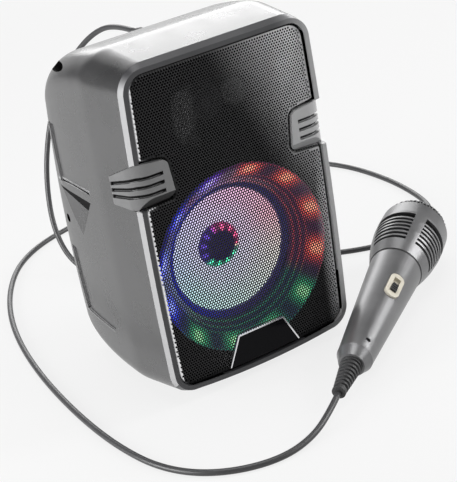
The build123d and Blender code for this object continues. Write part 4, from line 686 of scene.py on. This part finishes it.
# ---------------------------------------------------------------- hand microphone
# Satin painted plastic with a slotted head, a woven steel dome and a moulded strain relief.
# The dome is a square weave of steel wire pressed to a flattened half round, with foam under it.
MIC_TAIL_END = np.array([6.0, -144.0, 9.305]) * MM
MIC_AXIS, SWITCH_WAY = np.array([0.795196, 0.599223, 0.092715]), np.array([0.347666, -0.575857, 0.739944])
DOME_START, DOME_RADIUS, DOME_HEIGHT = 216.0 * MM, 26.0 * MM, 20.0 * MM
WIRE_PITCH, WIRE_RADIUS, WEAVE = 2.6 * MM, 0.48 * MM, 0.42 * MM
mic_paint = moulded("mic_satin", (0.17, 0.17, 0.173), 0.33, grain=0.3, relief=0.006)
mic_paint.shader.inputs["Metallic"].default_value = 0.55
mic_paint.coat("mic_handle", "mic_head_shell", "mic_tail_collar")
moulded("relief_rubber", (0.025, 0.025, 0.026), 0.5, grain=0.5, relief=0.02).coat(
    "mic_strain_relief", "mic_seam_ring", "plug_grip", "plug_boot")
foam = Finish("liner_foam", Base_Color=(0.008, 0.008, 0.008), Roughness=0.95)
foam.feed(Normal=foam.bump(foam.place.noise(1500.0), 0.2 * MM)).coat("mic_liner")


def tube(path, radius, sides=14, side=None):
    """Circles across the path, each turned from the last by the least angle, or set to a given side. Both
    ends are closed."""
    ahead = np.gradient(path, axis=0)
    ahead /= np.linalg.norm(ahead, axis=1, keepdims=True)
    if side is None:
        side = np.zeros_like(path)
        side[0] = np.cross(ahead[0], (0, 0, 1.0))
        side[0] /= np.linalg.norm(side[0])
        for i in range(1, len(path)):
            kept = side[i - 1] - ahead[i] * (side[i - 1] @ ahead[i])
            side[i] = kept / np.linalg.norm(kept)
    up = np.cross(side, ahead)
    angle = np.linspace(0, 2 * np.pi, sides, endpoint=False)
    wall = path[:, None] + radius * (np.cos(angle)[None, :, None] * side[:, None]
                                     + np.sin(angle)[None, :, None] * up[:, None])
    index = np.arange(len(path) * sides).reshape(len(path), sides)
    a, b = index[:-1], index[1:]
    quads = np.stack([a, np.roll(a, -1, 1), np.roll(b, -1, 1), b], 2).reshape(-1, 4)
    return wall.reshape(-1, 3), quads.tolist() + [index[0][::-1].tolist(), index[-1].tolist()]


def along_mic(across, over, height):
    """Place of points given across the microphone, across it the other way and up along its axis."""
    other = np.cross(MIC_AXIS, SWITCH_WAY)
    return MIC_TAIL_END + np.outer(across, SWITCH_WAY) + np.outer(over, other) + np.outer(height, MIC_AXIS)


def woven_dome(name):
    """Two families of wires at right angles. Each wire is a half ellipse over the dome at one distance from
    the axis. It rises and sinks by a cosine wave, over one crossing wire and under the next."""
    points, faces, base = [], [], 0
    reach = DOME_RADIUS - WIRE_RADIUS - WEAVE
    rise = DOME_HEIGHT - WIRE_RADIUS - WEAVE
    count = int(reach / WIRE_PITCH)
    for family in (0, 1):
        for k in range(-count, count + 1):
            offset = k * WIRE_PITCH
            half = math.sqrt(reach ** 2 - offset ** 2)
            turn = np.linspace(-0.5 * np.pi, 0.5 * np.pi, 2 * int(half / WIRE_PITCH * 3) + 7)
            over, height = half * np.sin(turn), rise * half / reach * np.cos(turn)
            wave = WEAVE * (-1) ** (k + family) * np.cos(np.pi * over / WIRE_PITCH)
            over, height = over + wave * np.sin(turn), height + wave * np.cos(turn)
            pair = (np.full(len(over), offset), over)
            path = along_mic(pair[family], pair[1 - family], DOME_START + height)
            side = along_mic(np.array([1.0 - family]), np.array([float(family)]), np.zeros(1)) - MIC_TAIL_END
            ring, quads = tube(path, WIRE_RADIUS, 6, np.repeat(side, len(path), 0))
            points.append(ring)
            faces += [[i + base for i in face] for face in quads]
            base += len(ring)
    return new_piece(name, np.vstack(points), faces)


def round_dome(name, radius, rise):
    """Half ellipsoid on the microphone's axis, closed by a flat disc below."""
    level = np.linspace(0, 0.5 * np.pi, 10)[:-1]
    turn = np.linspace(0, 2 * np.pi, 40, endpoint=False)
    across = radius * np.cos(level)[:, None] * np.cos(turn)
    over = radius * np.cos(level)[:, None] * np.sin(turn)
    height = np.repeat(DOME_START + rise * np.sin(level), len(turn))
    points = along_mic(across.ravel(), over.ravel(), height)
    top = along_mic(np.zeros(1), np.zeros(1), np.array([DOME_START + rise]))
    index = np.arange(len(points)).reshape(len(level), len(turn))
    a, b = index[:-1], index[1:]
    quads = np.stack([a, np.roll(a, -1, 1), np.roll(b, -1, 1), b], 2).reshape(-1, 4).tolist()
    last = index[-1]
    fan = [[int(i), int(j), len(points)] for i, j in zip(last, np.roll(last, -1))]
    return new_piece(name, np.vstack([points, top]), quads + fan + [index[0][::-1].tolist()])


mesh_dome = woven_dome("dome_mesh")
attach(mesh_dome, "microphone")
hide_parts("mic_dome")
dome_wire = Finish("dome_wire", Base_Color=(0.09, 0.09, 0.093), Metallic=0.7, Roughness=0.32)
dome_wire.feed(Roughness=0.26 + 0.15 * dome_wire.place.noise(500.0)).coat(mesh_dome)
dome_foam = round_dome("dome_foam", DOME_RADIUS - 2.4 * MM, DOME_HEIGHT - 2.4 * MM)
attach(dome_foam, "microphone")
foam.coat(dome_foam)
moulded("switch_plate", (0.66, 0.62, 0.52), 0.22, grain=0.3, relief=0.01).coat("mic_switch_plate")
moulded("switch_slider", (0.012, 0.012, 0.012), 0.35, grain=0.3, relief=0.01).coat("mic_switch_slider")

# ---------------------------------------------------------------- cord
# A soft PVC lead, 4.5 mm thick. It leaves the microphone's tail, runs round the left side and behind the
# speaker, turns back on the right and rises to the plug at the back.
CORD_RADIUS = 2.25 * MM
LIE = 2.4                        # height of the cord's middle where it lies on the table
# control points of the cord's curve in mm, from the microphone's tail to the plug
CORD_ROUTE = [
    (6, -144, 9.305), (-11.5, -157.2, 7.27), (-34, -169, 3.6), (-60, -174, LIE), (-88, -167, LIE),
    (-112, -149, LIE), (-127, -121, LIE), (-133, -83, LIE), (-134, -38, LIE), (-131, 12, LIE),
    (-125, 62, LIE), (-115, 114, LIE), (-100, 164, LIE), (-79, 210, LIE), (-52, 250, LIE),
    (-19, 276, LIE), (22, 290, LIE), (68, 295, LIE), (116, 294, LIE), (164, 287, LIE), (208, 270, LIE),
    (243, 240, LIE), (262, 198, LIE), (267, 150, LIE), (264, 104, LIE), (254, 62, LIE), (232, 36, LIE),
    (201, 28, LIE), (168, 36, LIE), (137, 56, LIE), (108, 84, LIE), (74, 108, LIE), (38, 126, LIE),
    (8, 146, LIE), (-12, 172, LIE), (-21, 204, 9), (-21, 228, 32), (-14, 241, 66), (-3, 246, 103),
    (11, 242, 140), (27, 228, 173), (39, 203, 196), (45, 172, 206.6), (45, 135.7, 206.6),
]


def spline_points(name, route):
    """Points along the NURBS curve that has the route as its control points."""
    curve = bpy.data.curves.new(name, "CURVE")
    curve.dimensions = "3D"
    curve.resolution_u = 8
    spline = curve.splines.new("NURBS")
    spline.points.add(len(route) - 1)
    for point, place in zip(spline.points, route):
        point.co = (*[value * MM for value in place], 1.0)
    spline.order_u = 3
    spline.use_endpoint_u = True
    guide = bpy.data.objects.new(name, curve)
    line = bpy.data.meshes.new_from_object(guide)
    points = np.empty(len(line.vertices) * 3)
    line.vertices.foreach_get("co", points)
    bpy.data.objects.remove(guide)
    bpy.data.meshes.remove(line)
    return points.reshape(-1, 3)


cord_path = spline_points("cord_guide", CORD_ROUTE)
cord = new_piece("cord_lead", *tube(cord_path, CORD_RADIUS))
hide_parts("mic_cord")
moulded("cord_pvc", (0.045, 0.045, 0.047), 0.38, grain=0.5, relief=0.02).coat(cord)
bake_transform(cord)

# ---------------------------------------------------------------- floor, backdrop and lights
# A white floor and backdrop under plain soft light: lamps overhead, behind for the top's sheen, at each side
# and in front. The camera and reflections see the surroundings as white.
MIDDLE = (0.0, 0.0, 0.12)


def stage_paint(name, shown, kept):
    """White surface: the camera and reflections see the given brightness, and a share of its real light is
    kept, with the shadow in it."""
    material = bpy.data.materials.new(name)
    material.use_nodes = True
    tree = material.node_tree
    tree.nodes.clear()
    rays = tree.nodes.new("ShaderNodeLightPath").outputs
    kinds = ("Camera", "Glossy", "Transmission")
    by_camera, glossy, through = (Flow(tree, rays[f"Is {kind} Ray"]) for kind in kinds)
    seen = (by_camera + glossy + through).least(1.0)
    lit = seen.node("ShaderNodeBsdfDiffuse", {}, {"Color": (0.5, 0.5, 0.5, 1.0)})
    plain = seen.node("ShaderNodeEmission", {}, {"Color": (1.0, 1.0, 1.0, 1.0), "Strength": shown})
    mix = seen.node("ShaderNodeMixShader", {}, {0: seen * (1 - kept), 1: lit, 2: plain})
    out = tree.nodes.new("ShaderNodeOutputMaterial")
    tree.links.new(mix.socket, out.inputs["Surface"])
    return material


def stage_sheet(name, corners, material):
    """A flat sheet of the stage."""
    sheet = new_piece(name, corners, [(0, 1, 2, 3)], smooth=False)
    sheet.data.materials.append(material)


sweep = stage_paint("sweep_white", 1.0, 0.20)
stage_sheet("studio_floor", [(-6, -4, 0), (6, -4, 0), (6, 5, 0), (-6, 5, 0)], sweep)
stage_sheet("studio_backdrop", [(-0.8, 5, 0), (6, 5, 0), (6, 5, 5), (-0.8, 5, 5)], sweep)


def soft_lamp(name, place, size, watts):
    """A rectangular lamp that is turned towards the middle of the speaker."""
    lamp = bpy.data.lights.new(name, "AREA")
    lamp.shape, lamp.size, lamp.size_y, lamp.energy = "RECTANGLE", size[0], size[1], watts
    holder = bpy.data.objects.new(name, lamp)
    holder.location = place
    holder.rotation_euler = (Vector(MIDDLE) - Vector(place)).to_track_quat("-Z", "Y").to_euler()
    scene.collection.objects.link(holder)


LAMPS = [("overhead", (0.1, 0.1, 1.5), (1.0, 1.0), 12), ("rear_sheen", (0.9, 1.5, 0.8), (1.6, 0.7), 14),
         ("left_low", (-1.4, 0.1, 0.45), (1.0, 0.8), 30), ("right_side", (1.3, -0.5, 0.7), (0.5, 0.9), 14),
         ("front_fill", (1.0, -1.5, 0.8), (0.8, 0.8), 8)]
for lamp_name, place, size, watts in LAMPS:
    soft_lamp(lamp_name, place, size, watts)
world = bpy.data.worlds.new("studio")
scene.world = world
world.use_nodes = True
light_path = world.node_tree.nodes.new("ShaderNodeLightPath")
by_camera = Flow(world.node_tree, light_path.outputs["Is Camera Ray"])
WHITE = (1.0, 1.0, 1.0, 1.0)
dim = by_camera.node("ShaderNodeBackground", {}, {"Color": WHITE, "Strength": 0.12})
white = by_camera.node("ShaderNodeBackground", {}, {"Color": WHITE, "Strength": 1.0})
both = by_camera.node("ShaderNodeMixShader", {}, {0: by_camera, 1: dim, 2: white})
world.node_tree.links.new(both.socket, world.node_tree.nodes["World Output"].inputs["Surface"])

# ---------------------------------------------------------------- camera
AZIMUTH, ELEVATION, ROLL = (math.radians(a) for a in (-28.67, 23.99, -9.55))
SHIFT_ACROSS, SHIFT_UP, DISTANCE = 9.48 * MM, 22.26 * MM, 1103.19 * MM
FOCAL_PIXELS, IMAGE_WIDTH, SENSOR = 1600.0, 457.0, 36.0
AIM = Vector((0.0, -64.0 * MM, MID_HEIGHT))
level = math.cos(ELEVATION)
back = Vector((math.sin(AZIMUTH) * level, -math.cos(AZIMUTH) * level, math.sin(ELEVATION)))
across = Vector((0, 0, 1)).cross(back).normalized()
upward = back.cross(across)
right = across * math.cos(ROLL) + upward * math.sin(ROLL)
up = upward * math.cos(ROLL) - across * math.sin(ROLL)
eye = AIM + back * DISTANCE - right * SHIFT_ACROSS - up * SHIFT_UP
lens = bpy.data.cameras.new("product_camera")
lens.sensor_fit, lens.sensor_width = "HORIZONTAL", SENSOR
lens.lens = FOCAL_PIXELS / IMAGE_WIDTH * SENSOR
lens.clip_start, lens.clip_end = 0.05, 30.0
camera = bpy.data.objects.new("product_camera", lens)
camera.matrix_world = Matrix.Translation(eye) @ Matrix((right, up, back)).transposed().to_4x4()
scene.collection.objects.link(camera)
scene.camera = camera
scene.view_settings.view_transform = "Standard"
